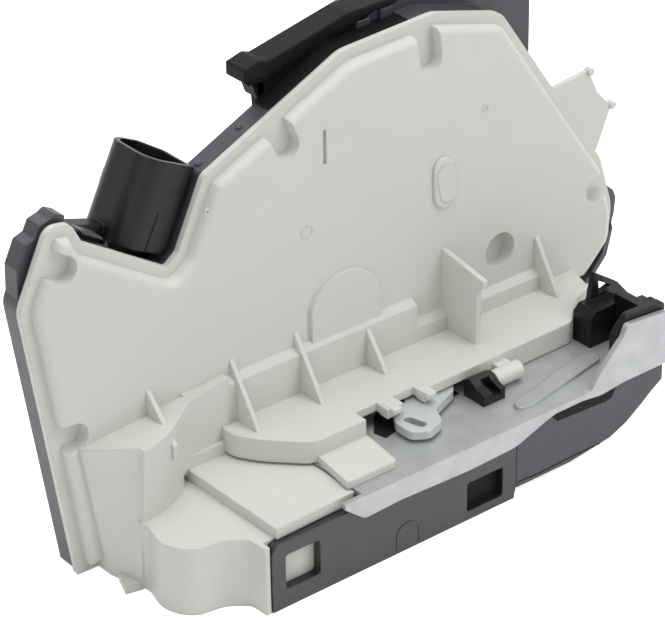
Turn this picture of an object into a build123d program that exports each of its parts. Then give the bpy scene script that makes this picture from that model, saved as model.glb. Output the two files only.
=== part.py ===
from build123d import *
import math
import os

os.makedirs("parts", exist_ok=True)

# Door latch with its lock actuator, in millimetres.
# Origin: the seated striker's centre, on the outer face of the face plate.
# +X runs along the latch, +Z points into the door, -Y is the side that the
# white cover closes. The striker enters along -Y from the +Y side.

# ---------------------------------------------------------------- driving sizes
PLATE = 2.2                    # face plate thickness
FACE_X0, FACE_X1 = -47.8, 36.0
FACE_Y0, FACE_Y1 = -27.5, 29.5
FLANGE_X1 = 20.0               # right end of the bent front flange
FLANGE_H = 16.4
CASE_TOP = 18.2                # seat of the back plate
BACK_T = 1.4                   # back plate thickness
BACK_Z1 = CASE_TOP + BACK_T
RIGHT_X = 65.0                 # right end of the latch case
SCREW_R = 3.4                  # wall of an M8 thread
SCREW_SPOTS = [(-38.0, 17.5), (31.0, 14.0)]
COLLAR_H = 7.0

MOUTH_W = 13.0                 # striker slot in the face plate
MOUTH_FLARE = 26.0
MOUTH_END_Y = -8.0

CLAW_X, CLAW_Y = -18.0, 0.0    # claw pivot
CLAW_R = 24.0
CLAW_HUB_R = 11.0
CLAW_SLOT = 11.0
CLAW_OPEN = 62.0               # degrees from latched to open
CLAW_Z0, CLAW_Z1 = 5.0, 13.4
CORE_Z0, CORE_Z1 = 6.2, 12.2
PIN_R = 4.0                    # claw pin
RUN = 0.05                     # running clearance on a radius

PAWL_X, PAWL_Y = 15.0, -3.0    # pawl pivot, shared by the outside release lever
PAWL_LIFT = 13.0               # degrees from engaged to clear of the claw
PAWL_PIN_R = 3.0

RIM_Y = 10.5                   # front of the cover's lip
LIP = 1.5
FACE_Y = 7.5                   # front of the cover's raised face
WALL = 2.0
HOUSING_Y = RIM_Y + LIP + 0.8  # gasket between
HOUSING_STEP = 4.9
HOUSING_BACK = 34.5
LEDGE_Z0, LEDGE_Z1 = 19.8, 25.2

MODULE = 1.0                   # of both gear pairs
WHEEL_X, WHEEL_Z = 44.0, 62.0  # worm wheel centre
WHEEL_TEETH, PINION_TEETH, SECTOR_TEETH = 30, 12, 48
WORM_R = 3.5                   # worm pitch radius
SHAFT_Y = 22.0                 # depth of the motor shaft
SHAFT_Z = WHEEL_Z + WHEEL_TEETH * MODULE / 2 + WORM_R
MOTOR_X0, MOTOR_X1, MOTOR_R, MOTOR_FLAT = 4.0, 28.0, 11.0, 18.4
LOCK_ANGLE = 30.0              # from the lock lever's pivot up to the wheel
LEVER_Z0 = 20.4                # outside release lever
LEVER_T = 2.0
HANDLE_X, HANDLE_Z = -20.0, 52.0   # inside release lever pivot, on the back


def front(y):
    """Plane at depth y that faces the cover side, with X right and Z up."""
    return Plane.XZ.offset(-y)


def polar(radius, angle, centre=(0.0, 0.0)):
    """Point at an angle in degrees about a centre."""
    a = math.radians(angle)
    return (centre[0] + radius * math.cos(a), centre[1] + radius * math.sin(a))


def turned(points, angle, centre):
    """The points turned about a centre."""
    c, s = math.cos(math.radians(angle)), math.sin(math.radians(angle))
    out = []
    for px, py in points:
        dx, dy = px - centre[0], py - centre[1]
        out.append((centre[0] + c * dx - s * dy, centre[1] + s * dx + c * dy))
    return out


def upright(x, y, z0, z1, r):
    """A plain round bar along Z."""
    with Locations((x, y, z0)):
        Cylinder(r, z1 - z0, align=(Align.CENTER, Align.CENTER, Align.MIN))


def save(piece, name):
    """Label one finished piece and write its STEP file."""
    piece.part.label = name
    export_step(piece.part, f"parts/{name}.step")


# ---------------------------------------------------------------- outlines
FOOT_Z = 19.9                  # foot of the cover above the latch
RIM = [
    (-70.9, 0.0), (-80.4, 67.6), (-72.4, 84.2), (-66.9, 83.4), (-64.4, 78.3), (-43.9, 65.1),
    (-40.9, 67.4), (-33.6, 82.8), (3.4, 99.8), (29.0, 101.0), (48.2, 95.6), (79.9, 49.5),
    (83.9, 36.0), (83.2, 27.2), (75.8, FOOT_Z), (-48.1, FOOT_Z), (-48.1, 0.0),
]
RIM_ROUND = [0.4, 6, 3.2, 3, 1.0, 0.8, 2, 3, 8, 8, 6, 6, 10, 5, 0.4, 0.4, 0.4]
# thumb-sized clearance pockets along the rim: centre and the way out, in degrees
POCKETS = [(-13.9, 84.3, 113), (25.6, 92.2, 97), (76.0, 43.6, 20), (-71.0, 75.4, 150),
           (-70.9, 36.0, 178)]
POCKET_R, POCKET_WAY = 3.1, 9.0
BORE_X, BORE_Z, BORE_R = 46.2, 38.3, 4.3
# gusset ribs: place, depth, height at the face and height of the foot
RIBS = [(-52.3, 9.0, 40.0, 30.5), (-30.4, 9.5, 39.1, 24.6), (-12.9, 9.5, 39.1, 24.6),
        (5.6, 9.0, 36.8, 24.6), (57.5, 8.3, 38.0, 24.6)]


def rim_sketch(plane, inset=0.0):
    """Closed rim outline on a plane, moved in by inset."""
    with BuildSketch(plane) as sketch:
        with BuildLine():
            FilletPolyline(*RIM, radius=RIM_ROUND, close=True)
        make_face()
        if inset:
            offset(amount=-inset, kind=Kind.INTERSECTION)
    return sketch.sketch


def pocket_sketch(plane, grow=0.0):
    """The rim pockets: round at the inner end and open over the rim."""
    with BuildSketch(plane) as sketch:
        for px, pz, way in POCKETS:
            end = polar(POCKET_WAY / 2, way, (px, pz))
            with Locations(end):
                SlotCenterToCenter(POCKET_WAY, 2 * (POCKET_R + grow), rotation=way)
    return sketch.sketch


# ---------------------------------------------------------------- white cover
LEDGE = [(-33.6, 8.0), (-35.6, 4.6), (-35.6, 1.0), (-32.3, -4.2), (-25.0, -11.8), (-21.9, -12.6),
         (8.4, -12.5), (9.4, -11.0), (52.0, -10.4), (55.5, -7.2), (60.5, -3.4), (66.1, -1.3),
         (69.0, 8.0)]
S_LEDGE_Z, BOX1_Z, BOX2_Z = 16.6, 19.2, 21.4
RIM_BACK = RIM_Y + LIP
RIB_T = 1.2

with BuildPart() as raised:
    extrude(rim_sketch(front(RIM_Y), 2.5), amount=RIM_Y - FACE_Y)
    fillet(raised.faces().sort_by(Axis.Y)[0].edges(), 1.7)
    extrude(pocket_sketch(front(RIM_Y)), amount=RIM_Y - FACE_Y, mode=Mode.SUBTRACT)

with BuildPart() as block:
    # block over the motor leads: it leans with the rim's left edge
    with BuildSketch(front(RIM_Y)):
        Polygon((-65.5, 0), (-70.5, 33.0), (-66.3, 33.3), (-54.5, 34.1), (-33.0, 36.6),
                (-33.0, FOOT_Z), (-48.1, FOOT_Z), (-48.1, 0), align=None)
    extrude(amount=14.0)
    with BuildSketch():
        with BuildLine():
            Line((-90, 30), (-90, -2.8))
            Line((-90, -2.8), (-63.8, -2.8))
            wave = Spline((-63.8, -2.8), (-58.7, -2.7), (-52.0, -0.4), (-46.2, 3.2), (-33.0, 5.2),
                          tangents=((1, -0.1), (1, 0.05)))
            Line(wave @ 1, (-20, 5.2))
            Line((-20, 5.2), (-20, 30))
            Line((-20, 30), (-90, 30))
        make_face()
    extrude(amount=60, mode=Mode.INTERSECT)
    # its front face turns away to the left, up to a sharp leaning edge
    with BuildSketch(Plane.XY.offset(-1)):
        Polygon((-65.4, 6.5), (-63.8, -2.8), (-63.8, -12), (-90, -12), (-90, 6.5), align=None)
    with BuildSketch(Plane.XY.offset(38)):
        Polygon((-71.2, 6.5), (-61.0, -1.0), (-61.0, -12), (-90, -12), (-90, 6.5), align=None)
    loft(ruled=True, mode=Mode.SUBTRACT)
    with BuildSketch():
        Polygon((-65.5, 3.0), (-67.3, -2.0), (-63.8, -2.8), (-63.0, 3.0), align=None)
    extrude(amount=2.0)

with BuildPart() as boxes:
    # curved S ledge in front of the block
    with BuildSketch():
        with BuildLine():
            Line((-48.1, 3.0), (-63.0, 3.0))
            Line((-63.0, 3.0), (-62.8, -5.0))
            bow = Spline((-62.8, -5.0), (-63.7, -13.0), (-60.0, -17.9), (-53.8, -19.3),
                         (-50.6, -21.6), (-49.3, -27.3), tangents=((-0.3, -1), (0.05, -1)))
            Line(bow @ 1, (-48.1, -27.3))
            Line((-48.1, -27.3), (-48.1, 3.0))
        make_face()
    extrude(amount=S_LEDGE_Z)
    # box 1 over the left end of the latch, and its slab up to the back plate
    with BuildSketch(Plane.XY.offset(2.6)):
        Polygon((-49.0, -25.1), (-33.4, -25.1), (-33.4, 5.5), (-49.0, 5.5), align=None)
    extrude(amount=S_LEDGE_Z - 2.6)
    with BuildSketch(Plane.XY.offset(S_LEDGE_Z)):
        Polygon((-45.2, -26.0), (-24.0, -25.4), (-24.0, 7.5), (-45.6, 7.5), align=None)
    extrude(amount=BOX1_Z - S_LEDGE_Z)
    with BuildSketch(Plane.XY.offset(BOX1_Z - 1)):
        Polygon((-49.0, 3.9), (-33.6, 3.9), (-33.6, 7.5), (-49.0, 7.5), align=None)
    extrude(amount=4.0)
    # box 2 on the back plate
    with BuildSketch(Plane.XY.offset(BACK_Z1)):
        with BuildLine():
            FilletPolyline((-25.0, -24.6), (-11.5, -24.6), (-9.6, -11.0), (-23.0, -11.0),
                           radius=[0.8, 0.8, 0.8, 0.8], close=True)
        make_face()
    extrude(amount=BOX2_Z - BACK_Z1)

with BuildPart() as ledge:
    with BuildSketch(Plane.XY.offset(LEDGE_Z0)):
        with BuildLine():
            FilletPolyline(*LEDGE, radius=[0.6, 4, 6, 20, 6, 3, 0.4, 0.4, 3, 3, 2, 1, 0.4], close=True)
        make_face()
    extrude(amount=LEDGE_Z1 - LEDGE_Z0)

with BuildPart() as cavity:
    # the face stays one wall thick, with a cup behind each pocket and the bore
    extrude(rim_sketch(front(RIM_BACK), 5.0), amount=RIM_BACK - FACE_Y - WALL)
    extrude(pocket_sketch(front(RIM_BACK), WALL), amount=RIM_BACK, mode=Mode.SUBTRACT)
    with BuildSketch(front(RIM_BACK)):
        with Locations((BORE_X, BORE_Z)):
            Circle(BORE_R + WALL)
    extrude(amount=RIM_BACK, mode=Mode.SUBTRACT)
    # block, open at the back
    with BuildSketch(front(RIM_BACK)):
        Polygon((-62.0, 2), (-62.0, 31.0), (-52.0, 31.5), (-52.0, 2), align=None)
    extrude(amount=RIM_BACK - 4.5)
    # S ledge and box 1, open at the foot
    with BuildSketch():
        Polygon((-61.6, -1.0), (-61.6, -4.0), (-59.6, -13.0), (-55.0, -16.0), (-50.0, -18.4),
                (-50.0, -1.0), align=None)
    extrude(amount=S_LEDGE_Z - WALL)
    with BuildSketch():
        Polygon((-43.5, -23.1), (-35.4, -23.1), (-35.4, 3.5), (-43.5, 3.5), align=None)
    extrude(amount=BOX1_Z - WALL)
    # ledge over the levers, open at the foot
    with BuildSketch():
        Polygon((-32.0, 6.0), (-32.6, 2.0), (-29.4, -3.6), (-23.6, -9.8), (7.8, -9.8), (9.0, -8.8),
                (50.8, -8.2), (54.0, -5.4), (59.4, -1.4), (64.6, 0.6), (66.0, 6.0), align=None)
    extrude(amount=LEDGE_Z1 - WALL)

with BuildPart() as white_cover:
    extrude(rim_sketch(front(RIM_BACK)), amount=LIP)
    add(raised.part)
    add(block.part)
    add(boxes.part)
    add(ledge.part)
    # strip along the foot of the face, lower at its right end
    for x0, x1, top in ((-44.0, 19.8, 34.6), (19.0, 57.0, 28.8)):
        with BuildSketch(Plane.YZ.offset(x0)):
            Polygon((FACE_Y + 0.5, LEDGE_Z1 - 2), (5.4, LEDGE_Z1 - 2), (5.4, top),
                    (FACE_Y, top + 1.2), (FACE_Y + 0.5, top + 1.2), align=None)
        extrude(amount=x1 - x0)
    # gusset ribs
    for rx, depth, apex, foot in RIBS:
        with BuildSketch(Plane.YZ.offset(rx)):
            Polygon((FACE_Y + 0.5, apex), (FACE_Y + 0.5, foot - 3), (FACE_Y - depth, foot - 3),
                    (FACE_Y - depth, foot), (FACE_Y, apex), align=None)
        extrude(amount=RIB_T / 2, both=True)
    # tall stop rib with its nose
    with BuildSketch(Plane.YZ.offset(29.4)):
        Polygon((FACE_Y + 0.5, 44.8), (FACE_Y + 0.5, 24), (-3.9, 24), (-4.4, 40.0), (-6.4, 40.4),
                (-6.4, 42.2), (FACE_Y, 44.8), align=None)
    extrude(amount=0.7, both=True)
    # raised pad and bean-shaped boss on the face
    with BuildSketch(front(FACE_Y)):
        with BuildLine():
            Line((-9.1, 34), (-9.1, 43.5))
            ThreePointArc((-9.1, 43.5), (1.0, 49.8), (10.2, 43.5))
            Line((10.2, 43.5), (10.2, 34))
            Line((10.2, 34), (-9.1, 34))
        make_face()
        with Locations((29.6, 61.3)):
            SlotCenterToCenter(4.6, 5.2, rotation=100)
    extrude(amount=1.0)
    # round lug on the ledge, lying along X, and its web
    with BuildSketch(Plane.YZ.offset(25.2)):
        with Locations((-13.9, 22.0)):
            Circle(2.1)
    extrude(amount=7.6)
    with BuildSketch(Plane.XY.offset(20.6)):
        Polygon((28.0, -13.9), (31.8, -13.9), (31.8, -9.6), (28.0, -9.6), align=None)
    extrude(amount=3.0)
    add(cavity.part, mode=Mode.SUBTRACT)
    # notches for the clips, and the low window that the release lever swings in
    with BuildSketch(Plane.XY.offset(LEDGE_Z0)):
        with Locations((-7.0, -12.0), (3.5, -12.0)):
            Rectangle(6.0, 6.5)
    extrude(amount=LEDGE_Z1 - LEDGE_Z0, mode=Mode.SUBTRACT)
    with BuildSketch(Plane.XY.offset(LEDGE_Z0)):
        Polygon((-5.0, -13.5), (21.6, -13.5), (21.6, -7.5), (-5.0, -7.5), align=None)
    extrude(amount=3.1, mode=Mode.SUBTRACT)
    # blind bore beside the stop rib, and the slot high on the face
    with BuildSketch(front(FACE_Y)):
        with Locations((BORE_X, BORE_Z)):
            Circle(BORE_R)
    extrude(amount=-3.7, mode=Mode.SUBTRACT)
    with BuildSketch(front(FACE_Y)):
        with Locations((-4.0, 80.9)):
            Rectangle(0.9, 8.0)
    extrude(amount=-0.8, mode=Mode.SUBTRACT)
save(white_cover, "white_cover")

# ---------------------------------------------------------------- gasket and rear housing
DEEP = [(-59, 5), (-65.5, 36), (-66.5, 50), (-60, 58), (-44, 48), (-24, 66), (0.5, 80),
        (1.2, 95.5), (24, 104.5), (55, 104.5), (63.3, 98), (63.3, 70), (70, 48), (71, 30),
        (64, 23), (-34, 23), (-50, 17), (-50, 5)]
DEEP_BACK = HOUSING_BACK - WALL    # inner face of the back wall

with BuildPart() as gasket:
    extrude(rim_sketch(front(HOUSING_Y), 1.6), amount=HOUSING_Y - RIM_BACK)
    extrude(rim_sketch(front(HOUSING_Y), 3.4), amount=HOUSING_Y - RIM_BACK, mode=Mode.SUBTRACT)
save(gasket, "gasket")


def deep_sketch(y, inset=0.0):
    """Outline of the deep part of the rear housing at depth y."""
    with BuildSketch(front(y)) as sketch:
        with BuildLine():
            FilletPolyline(*DEEP, radius=4.0, close=True)
        make_face()
        if inset:
            offset(amount=-inset, kind=Kind.INTERSECTION)
    return sketch.sketch


with BuildPart() as throat:
    # opening from the shallow step into the deep part
    step_back = HOUSING_Y + HOUSING_STEP
    extrude(deep_sketch(step_back - WALL, WALL), amount=-2 * WALL)
    extrude(rim_sketch(front(step_back - WALL), 3.6), amount=-2 * WALL, mode=Mode.INTERSECT)

with BuildPart() as rear_housing:
    extrude(rim_sketch(front(HOUSING_Y), 0.6), amount=-HOUSING_STEP)
    extrude(deep_sketch(step_back), amount=-(HOUSING_BACK - step_back))
    fillet(rear_housing.faces().sort_by(Axis.Y)[-1].edges(), 2.5)
    extrude(rim_sketch(front(HOUSING_Y), 3.6), amount=-(HOUSING_STEP - WALL), mode=Mode.SUBTRACT)
    # the deep end stands out past the rim, so it keeps a front wall there
    add(throat.part, mode=Mode.SUBTRACT)
    extrude(deep_sketch(step_back + WALL, WALL), amount=-(DEEP_BACK - step_back - WALL),
            mode=Mode.SUBTRACT)
    # motor cradle and the worm's end bearing
    for rib_x in (MOTOR_X0 + 5, MOTOR_X1 - 7):
        with BuildSketch(Plane.YZ.offset(rib_x)):
            Polygon((24.0, SHAFT_Z - 12), (DEEP_BACK, SHAFT_Z - 12), (DEEP_BACK, SHAFT_Z + 11.5),
                    (24.0, SHAFT_Z + 11.5), align=None)
            with Locations((SHAFT_Y, SHAFT_Z)):
                Circle(MOTOR_R + RUN, mode=Mode.SUBTRACT)
        extrude(amount=2.0)
    with BuildSketch(Plane.YZ.offset(54.0)):
        Polygon((19.5, SHAFT_Z - 3), (DEEP_BACK, SHAFT_Z - 6), (DEEP_BACK, SHAFT_Z + 6),
                (19.5, SHAFT_Z + 3), align=None)
    extrude(amount=2.0)
    with BuildSketch(Plane.YZ.offset(50.0)):
        with Locations((SHAFT_Y, SHAFT_Z)):
            Circle(1.0 + RUN)
    extrude(amount=7.5, mode=Mode.SUBTRACT)
save(rear_housing, "rear_housing")

# ---------------------------------------------------------------- connector
CONN_LEAN = 26.5               # the socket leans from +Z towards +X
CONN_W, CONN_D, CONN_LONG, CONN_WALL = 13.0, 15.6, 19.4, 1.4
lean = math.radians(CONN_LEAN)
conn_plane = Plane(origin=(-48.0, 21.2, 69.0), x_dir=(math.cos(lean), 0, -math.sin(lean)),
                   z_dir=(math.sin(lean), 0, math.cos(lean)))


def connector_sketch(plane, inset=0.0):
    """Section of the socket: round on its left, one corner cut at the back."""
    w, d = CONN_W / 2 - inset, CONN_D / 2 - inset
    with BuildSketch(plane) as sketch:
        with BuildLine():
            FilletPolyline((-w, -d), (w, -d), (w, d - 5), (w - 4, d), (-w, d),
                           radius=[w - 1.2, 0.6, 0.8, 0.8, w - 1.2], close=True)
        make_face()
    return sketch.sketch


def pin_sketch(plane):
    """Section of the eight contact blades."""
    with BuildSketch(plane) as sketch:
        with Locations((-0.5, -0.3)):
            with GridLocations(2.0, 3.6, 4, 2):
                Rectangle(0.64, 0.64)
    return sketch.sketch


with BuildPart() as connector_shell:
    extrude(connector_sketch(conn_plane), amount=CONN_LONG)
    extrude(connector_sketch(conn_plane.offset(5.0), CONN_WALL), amount=CONN_LONG,
            mode=Mode.SUBTRACT)
    # neck down to the housing, and a block beside the rim's upper left lobe
    with BuildSketch(front(26.0)):
        Polygon((-53.6, 71.9), (-42.2, 66.3), (-38.0, 53.0), (-50.0, 50.0), align=None)
    extrude(amount=8.3)
    with BuildSketch(front(25.0)):
        Polygon((-64.3, 82.3), (-58.4, 78.9), (-51.5, 76.0), (-52.0, 68.5), (-66.0, 77.0),
                align=None)
    extrude(amount=7.0)
    add(rear_housing.part, mode=Mode.SUBTRACT)
    extrude(pin_sketch(conn_plane), amount=5.0, mode=Mode.SUBTRACT)
save(connector_shell, "connector_shell")

with BuildPart() as connector_pins:
    extrude(pin_sketch(conn_plane), amount=14.0)
save(connector_pins, "connector_pins")

# ---------------------------------------------------------------- face plate
PLATE_PLAN = [(FACE_X0, FACE_Y0), (FLANGE_X1, FACE_Y0), (FLANGE_X1 + 2, -21.0), (FACE_X1, -15.0),
              (FACE_X1 + 4, -8.0), (FACE_X1 + 4, FACE_Y1), (FACE_X0, FACE_Y1)]
WINDOWS = [(-39.6, 8.7, 9.2, 8.6), (11.0, 5.9, 10.4, 7.4)]
PIN_SEATS = [(CLAW_X, CLAW_Y, PIN_R), (PAWL_X, PAWL_Y, PAWL_PIN_R)]
RIVET_X, RIVET_Y, RIVET_R = 14.0, 18.0, 2.0


def mouth_sketch(plane, grow=0.0):
    """Striker slot, open and flared towards +Y."""
    half, flare, out = MOUTH_W / 2 + grow, MOUTH_FLARE / 2 + grow, FACE_Y1 + 6
    end = MOUTH_END_Y - grow
    with BuildSketch(plane) as sketch:
        with BuildLine():
            FilletPolyline((-half, end), (half, end), (half, 13.0), (flare, FACE_Y1 - 2.0),
                           (flare, out), (-flare, out), (-flare, FACE_Y1 - 2.0), (-half, 13.0),
                           radius=[half - 0.2, half - 0.2, 6, 3, 0.5, 0.5, 3, 6], close=True)
        make_face()
    return sketch.sketch


with BuildPart() as face_plate:
    with BuildSketch():
        with BuildLine():
            FilletPolyline(*PLATE_PLAN, radius=[0.4, 1.0, 3, 5, 3, 7, 7], close=True)
        make_face()
    extrude(amount=PLATE)
    # front flange with its two windows
    with BuildSketch(front(FACE_Y0)):
        with BuildLine():
            FilletPolyline((FACE_X0, 0), (FLANGE_X1, 0), (FLANGE_X1, FLANGE_H), (FACE_X0, FLANGE_H),
                           radius=[0.6, 2.5, 1.0, 2.5], close=True)
        make_face()
        for wx, wz, ww, wh in WINDOWS:
            with Locations((wx, wz)):
                RectangleRounded(ww, wh, 0.7, mode=Mode.SUBTRACT)
    extrude(amount=-PLATE)
    # drawn collars of the fixing threads, then every hole
    for sx, sy in SCREW_SPOTS:
        upright(sx, sy, 0, COLLAR_H, SCREW_R + 2.2)
    with BuildSketch():
        with Locations(*SCREW_SPOTS):
            Circle(SCREW_R)
        for sx, sy, sr in PIN_SEATS + [(RIVET_X, RIVET_Y, RIVET_R)]:
            with Locations((sx, sy)):
                Circle(sr)
    extrude(amount=COLLAR_H, mode=Mode.SUBTRACT)
    extrude(mouth_sketch(Plane.XY), amount=PLATE, mode=Mode.SUBTRACT)
save(face_plate, "face_plate")

# ---------------------------------------------------------------- latch case
CASE_PLAN = [(-33.0, -25.0), (20.4, -25.0), (20.4, -27.2), (RIGHT_X, -27.2), (RIGHT_X, -3.0),
             (56.0, 14.0), (50.0, 27.5), (-45.5, 27.5), (-45.5, 9.0), (-33.0, 9.0)]
CASE_FOOT = [(20.0, -1), (20.0, 0.3), (37.6, 2.3), (48.9, 3.7), (53.8, 5.7), (58.1, 8.5),
             (61.7, 11.1), (65.1, 13.2), (70.0, 13.4), (70.0, -1)]
CASE_FLOOR, RIGHT_FLOOR = 4.2, 9.4

with BuildPart() as latch_case:
    with BuildSketch(Plane.XY.offset(PLATE)):
        with BuildLine():
            FilletPolyline(*CASE_PLAN, radius=[1, 0.5, 0.5, 0.5, 6, 12, 4, 3, 1, 1], close=True)
        make_face()
    extrude(amount=CASE_TOP - PLATE)
    # rising foot of the right end
    with BuildSketch(front(40)):
        Polygon(*CASE_FOOT, align=None)
    extrude(amount=80, mode=Mode.SUBTRACT)
    # lower top under the cover's left box
    with BuildSketch(Plane.XY.offset(S_LEDGE_Z - 0.2)):
        Polygon((-34.0, -26.0), (-23.8, -26.0), (-23.8, 8.2), (-34.0, 8.2), align=None)
    extrude(amount=5, mode=Mode.SUBTRACT)
    # room for the claw and the pawl
    with BuildSketch(Plane.XY.offset(CASE_FLOOR)):
        with BuildLine():
            FilletPolyline((-31.2, -15.0), (-24.0, -22.7), (38.0, -22.7), (38.0, 4.0), (7.4, 4.0),
                           (7.4, 25.4), (-31.2, 25.4), radius=[5, 5, 4, 4, 1, 1, 6], close=True)
        make_face()
    extrude(amount=20, mode=Mode.SUBTRACT)
    # room at the right end, above its own floor
    with BuildSketch(Plane.XY.offset(RIGHT_FLOOR)):
        with BuildLine():
            FilletPolyline((40.0, -25.0), (52.0, -25.0), (52.0, 10.0), (46.0, 25.0), (40.0, 25.0),
                           radius=2.0, close=True)
        make_face()
    extrude(amount=20, mode=Mode.SUBTRACT)
    extrude(mouth_sketch(Plane.XY, 0.3), amount=30, mode=Mode.SUBTRACT)
    # reliefs over the thread collars, and the pin and rivet holes
    with BuildSketch():
        with Locations(*SCREW_SPOTS):
            Circle(SCREW_R + 2.6)
    extrude(amount=15.5, mode=Mode.SUBTRACT)
    with BuildSketch():
        for sx, sy, sr in PIN_SEATS + [(RIVET_X, RIVET_Y, RIVET_R)]:
            with Locations((sx, sy)):
                Circle(sr)
    extrude(amount=CASE_TOP, mode=Mode.SUBTRACT)
    # low gap in the front wall below the wavy edge
    with BuildSketch(front(-28)):
        Polygon((40.0, 14.4), (47.5, 13.8), (49.8, 19.0), (40.0, 19.0), align=None)
    extrude(amount=-3.4, mode=Mode.SUBTRACT)
save(latch_case, "latch_case")

# ---------------------------------------------------------------- back plate
WAVY = [(-29.2, BACK_Z1), (-29.2, 18.4), (-24.0, 14.2), (-14.2, 14.6), (5.6, 13.9), (18.7, 14.3),
        (27.5, 17.4), (33.0, 18.9), (44.0, 17.5), (56.3, 18.7), (64.6, 18.3), (64.6, 31.6),
        (51.6, 32.6), (50.2, 29.8), (43.8, 23.4), (41.0, BACK_Z1)]
WAVY_ROUND = [0.2, 0.2, 3, 12, 20, 12, 10, 6, 10, 12, 0.5, 1.5, 1.2, 3, 3, 0.2]
BACK_PLAN = [(-23.7, FACE_Y0 - BACK_T), (64.6, FACE_Y0 - BACK_T), (64.6, -3.5), (56.0, 13.0),
             (46.0, 26.0), (-23.7, 26.0)]

with BuildPart() as back_plate:
    with BuildSketch(Plane.XY.offset(CASE_TOP)):
        with BuildLine():
            FilletPolyline(*BACK_PLAN, radius=[0.3, 0.3, 5, 10, 8, 4], close=True)
        make_face()
        for sx, sy, sr in PIN_SEATS + [(RIVET_X, RIVET_Y, RIVET_R)]:
            with Locations((sx, sy)):
                Circle(sr, mode=Mode.SUBTRACT)
    extrude(amount=BACK_T)
    with BuildSketch(front(FACE_Y0 - BACK_T)):
        with BuildLine():
            FilletPolyline(*WAVY, radius=WAVY_ROUND, close=True)
        make_face()
    extrude(amount=-BACK_T)
    # pressed bead along the plate
    with BuildSketch(Plane.XY.offset(BACK_Z1)):
        with BuildLine():
            FilletPolyline((23.0, -25.0), (27.0, -25.4), (51.8, -20.6), (53.0, -16.0), (47.6, -16.6),
                           (24.0, -22.0), radius=[1.2, 1.2, 2, 1.6, 2, 1.2], close=True)
        make_face()
    extrude(amount=0.8)
save(back_plate, "back_plate")

# ---------------------------------------------------------------- pins, rivet and bumper
with BuildPart() as claw_pin:
    upright(CLAW_X, CLAW_Y, 0.2, BACK_Z1, PIN_R)
    upright(CLAW_X, CLAW_Y, BACK_Z1, BACK_Z1 + 1.2, PIN_R + 1.5)
    chamfer(claw_pin.faces().sort_by(Axis.Z)[-1].edges(), 0.6)
save(claw_pin, "claw_pin")

with BuildPart() as pawl_pin:
    upright(PAWL_X, PAWL_Y, 0.2, LEVER_Z0 + LEVER_T + 0.1, PAWL_PIN_R)
    upright(PAWL_X, PAWL_Y, BACK_Z1, LEVER_Z0 - 0.1, PAWL_PIN_R + 1.4)
    upright(PAWL_X, PAWL_Y, LEVER_Z0 + LEVER_T + 0.1, LEVER_Z0 + LEVER_T + 0.7, PAWL_PIN_R + 1.4)
save(pawl_pin, "pawl_pin")

with BuildPart() as case_rivet:
    upright(RIVET_X, RIVET_Y, 0.2, BACK_Z1, RIVET_R)
    upright(RIVET_X, RIVET_Y, BACK_Z1, BACK_Z1 + 0.9, RIVET_R + 1.6)
    chamfer(case_rivet.faces().sort_by(Axis.Z)[-1].edges(), 0.5)
save(case_rivet, "case_rivet")

with BuildPart() as claw_bumper:
    # rubber stop over the claw, where the striker comes to rest
    with BuildSketch(Plane.XY.offset(13.9)):
        Polygon((-5.5, MOUTH_END_Y - 0.5), (5.5, MOUTH_END_Y - 0.5), (5.5, -13.5), (-5.5, -13.5),
                align=None)
    extrude(amount=CASE_TOP - 13.9)
    fillet(claw_bumper.edges().filter_by(Axis.Z), 1.2)
save(claw_bumper, "claw_bumper")

# ---------------------------------------------------------------- claw, shown open
claw_at = (CLAW_X, CLAW_Y)
LATCHED_SPAN = (-52.0, 58.0)   # the two arms, as they stand when latched
NOTCH_R = 20.4
# pawl notch when latched: its shoulder follows the pawl's own swing
NOTCH = [(-2.6, -13.38), (0.2, -17.9), (8.0, -17.0), (9.0, -9.0), (3.6, -10.6),
         polar(NOTCH_R, -30.0, claw_at), polar(NOTCH_R, -36.0, claw_at)]


def claw_sketch(plane, grow=0.0):
    """Claw outline as it stands when open, its edge moved out by grow."""
    a0, a1 = LATCHED_SPAN[0] + CLAW_OPEN, LATCHED_SPAN[1] + CLAW_OPEN
    radius = CLAW_R + grow
    slot = [(12.5, -CLAW_SLOT / 2), (40, -CLAW_SLOT / 2 - 3), (40, CLAW_SLOT / 2 + 3),
            (12.5, CLAW_SLOT / 2)]
    slot = [(CLAW_X + px, CLAW_Y + py) for px, py in slot]
    with BuildSketch(plane) as sketch:
        with BuildLine():
            CenterArc(claw_at, radius, a0, a1 - a0)
            Line(polar(radius, a1, claw_at), claw_at)
            Line(claw_at, polar(radius, a0, claw_at))
        make_face()
        with Locations(claw_at):
            Circle(CLAW_HUB_R + grow)
        with BuildLine():
            FilletPolyline(*turned(slot, CLAW_OPEN, claw_at), radius=[5.2, 0.5, 0.5, 5.2],
                           close=True)
        make_face(mode=Mode.SUBTRACT)
        Polygon(*turned(NOTCH, CLAW_OPEN, claw_at), align=None, mode=Mode.SUBTRACT)
        with Locations(claw_at):
            Circle(PIN_R + RUN, mode=Mode.SUBTRACT)
    return sketch.sketch


with BuildPart() as claw_core:
    extrude(claw_sketch(Plane.XY.offset(CORE_Z0)), amount=CORE_Z1 - CORE_Z0)
save(claw_core, "claw_core")

# plastic jacket below and above the steel, set back from its edge
for jacket_name, z0, z1 in (("claw_jacket_lower", CLAW_Z0, CORE_Z0),
                            ("claw_jacket_upper", CORE_Z1, CLAW_Z1)):
    with BuildPart() as claw_jacket:
        extrude(claw_sketch(Plane.XY.offset(z0), grow=-0.5), amount=z1 - z0)
    save(claw_jacket, jacket_name)

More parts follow.
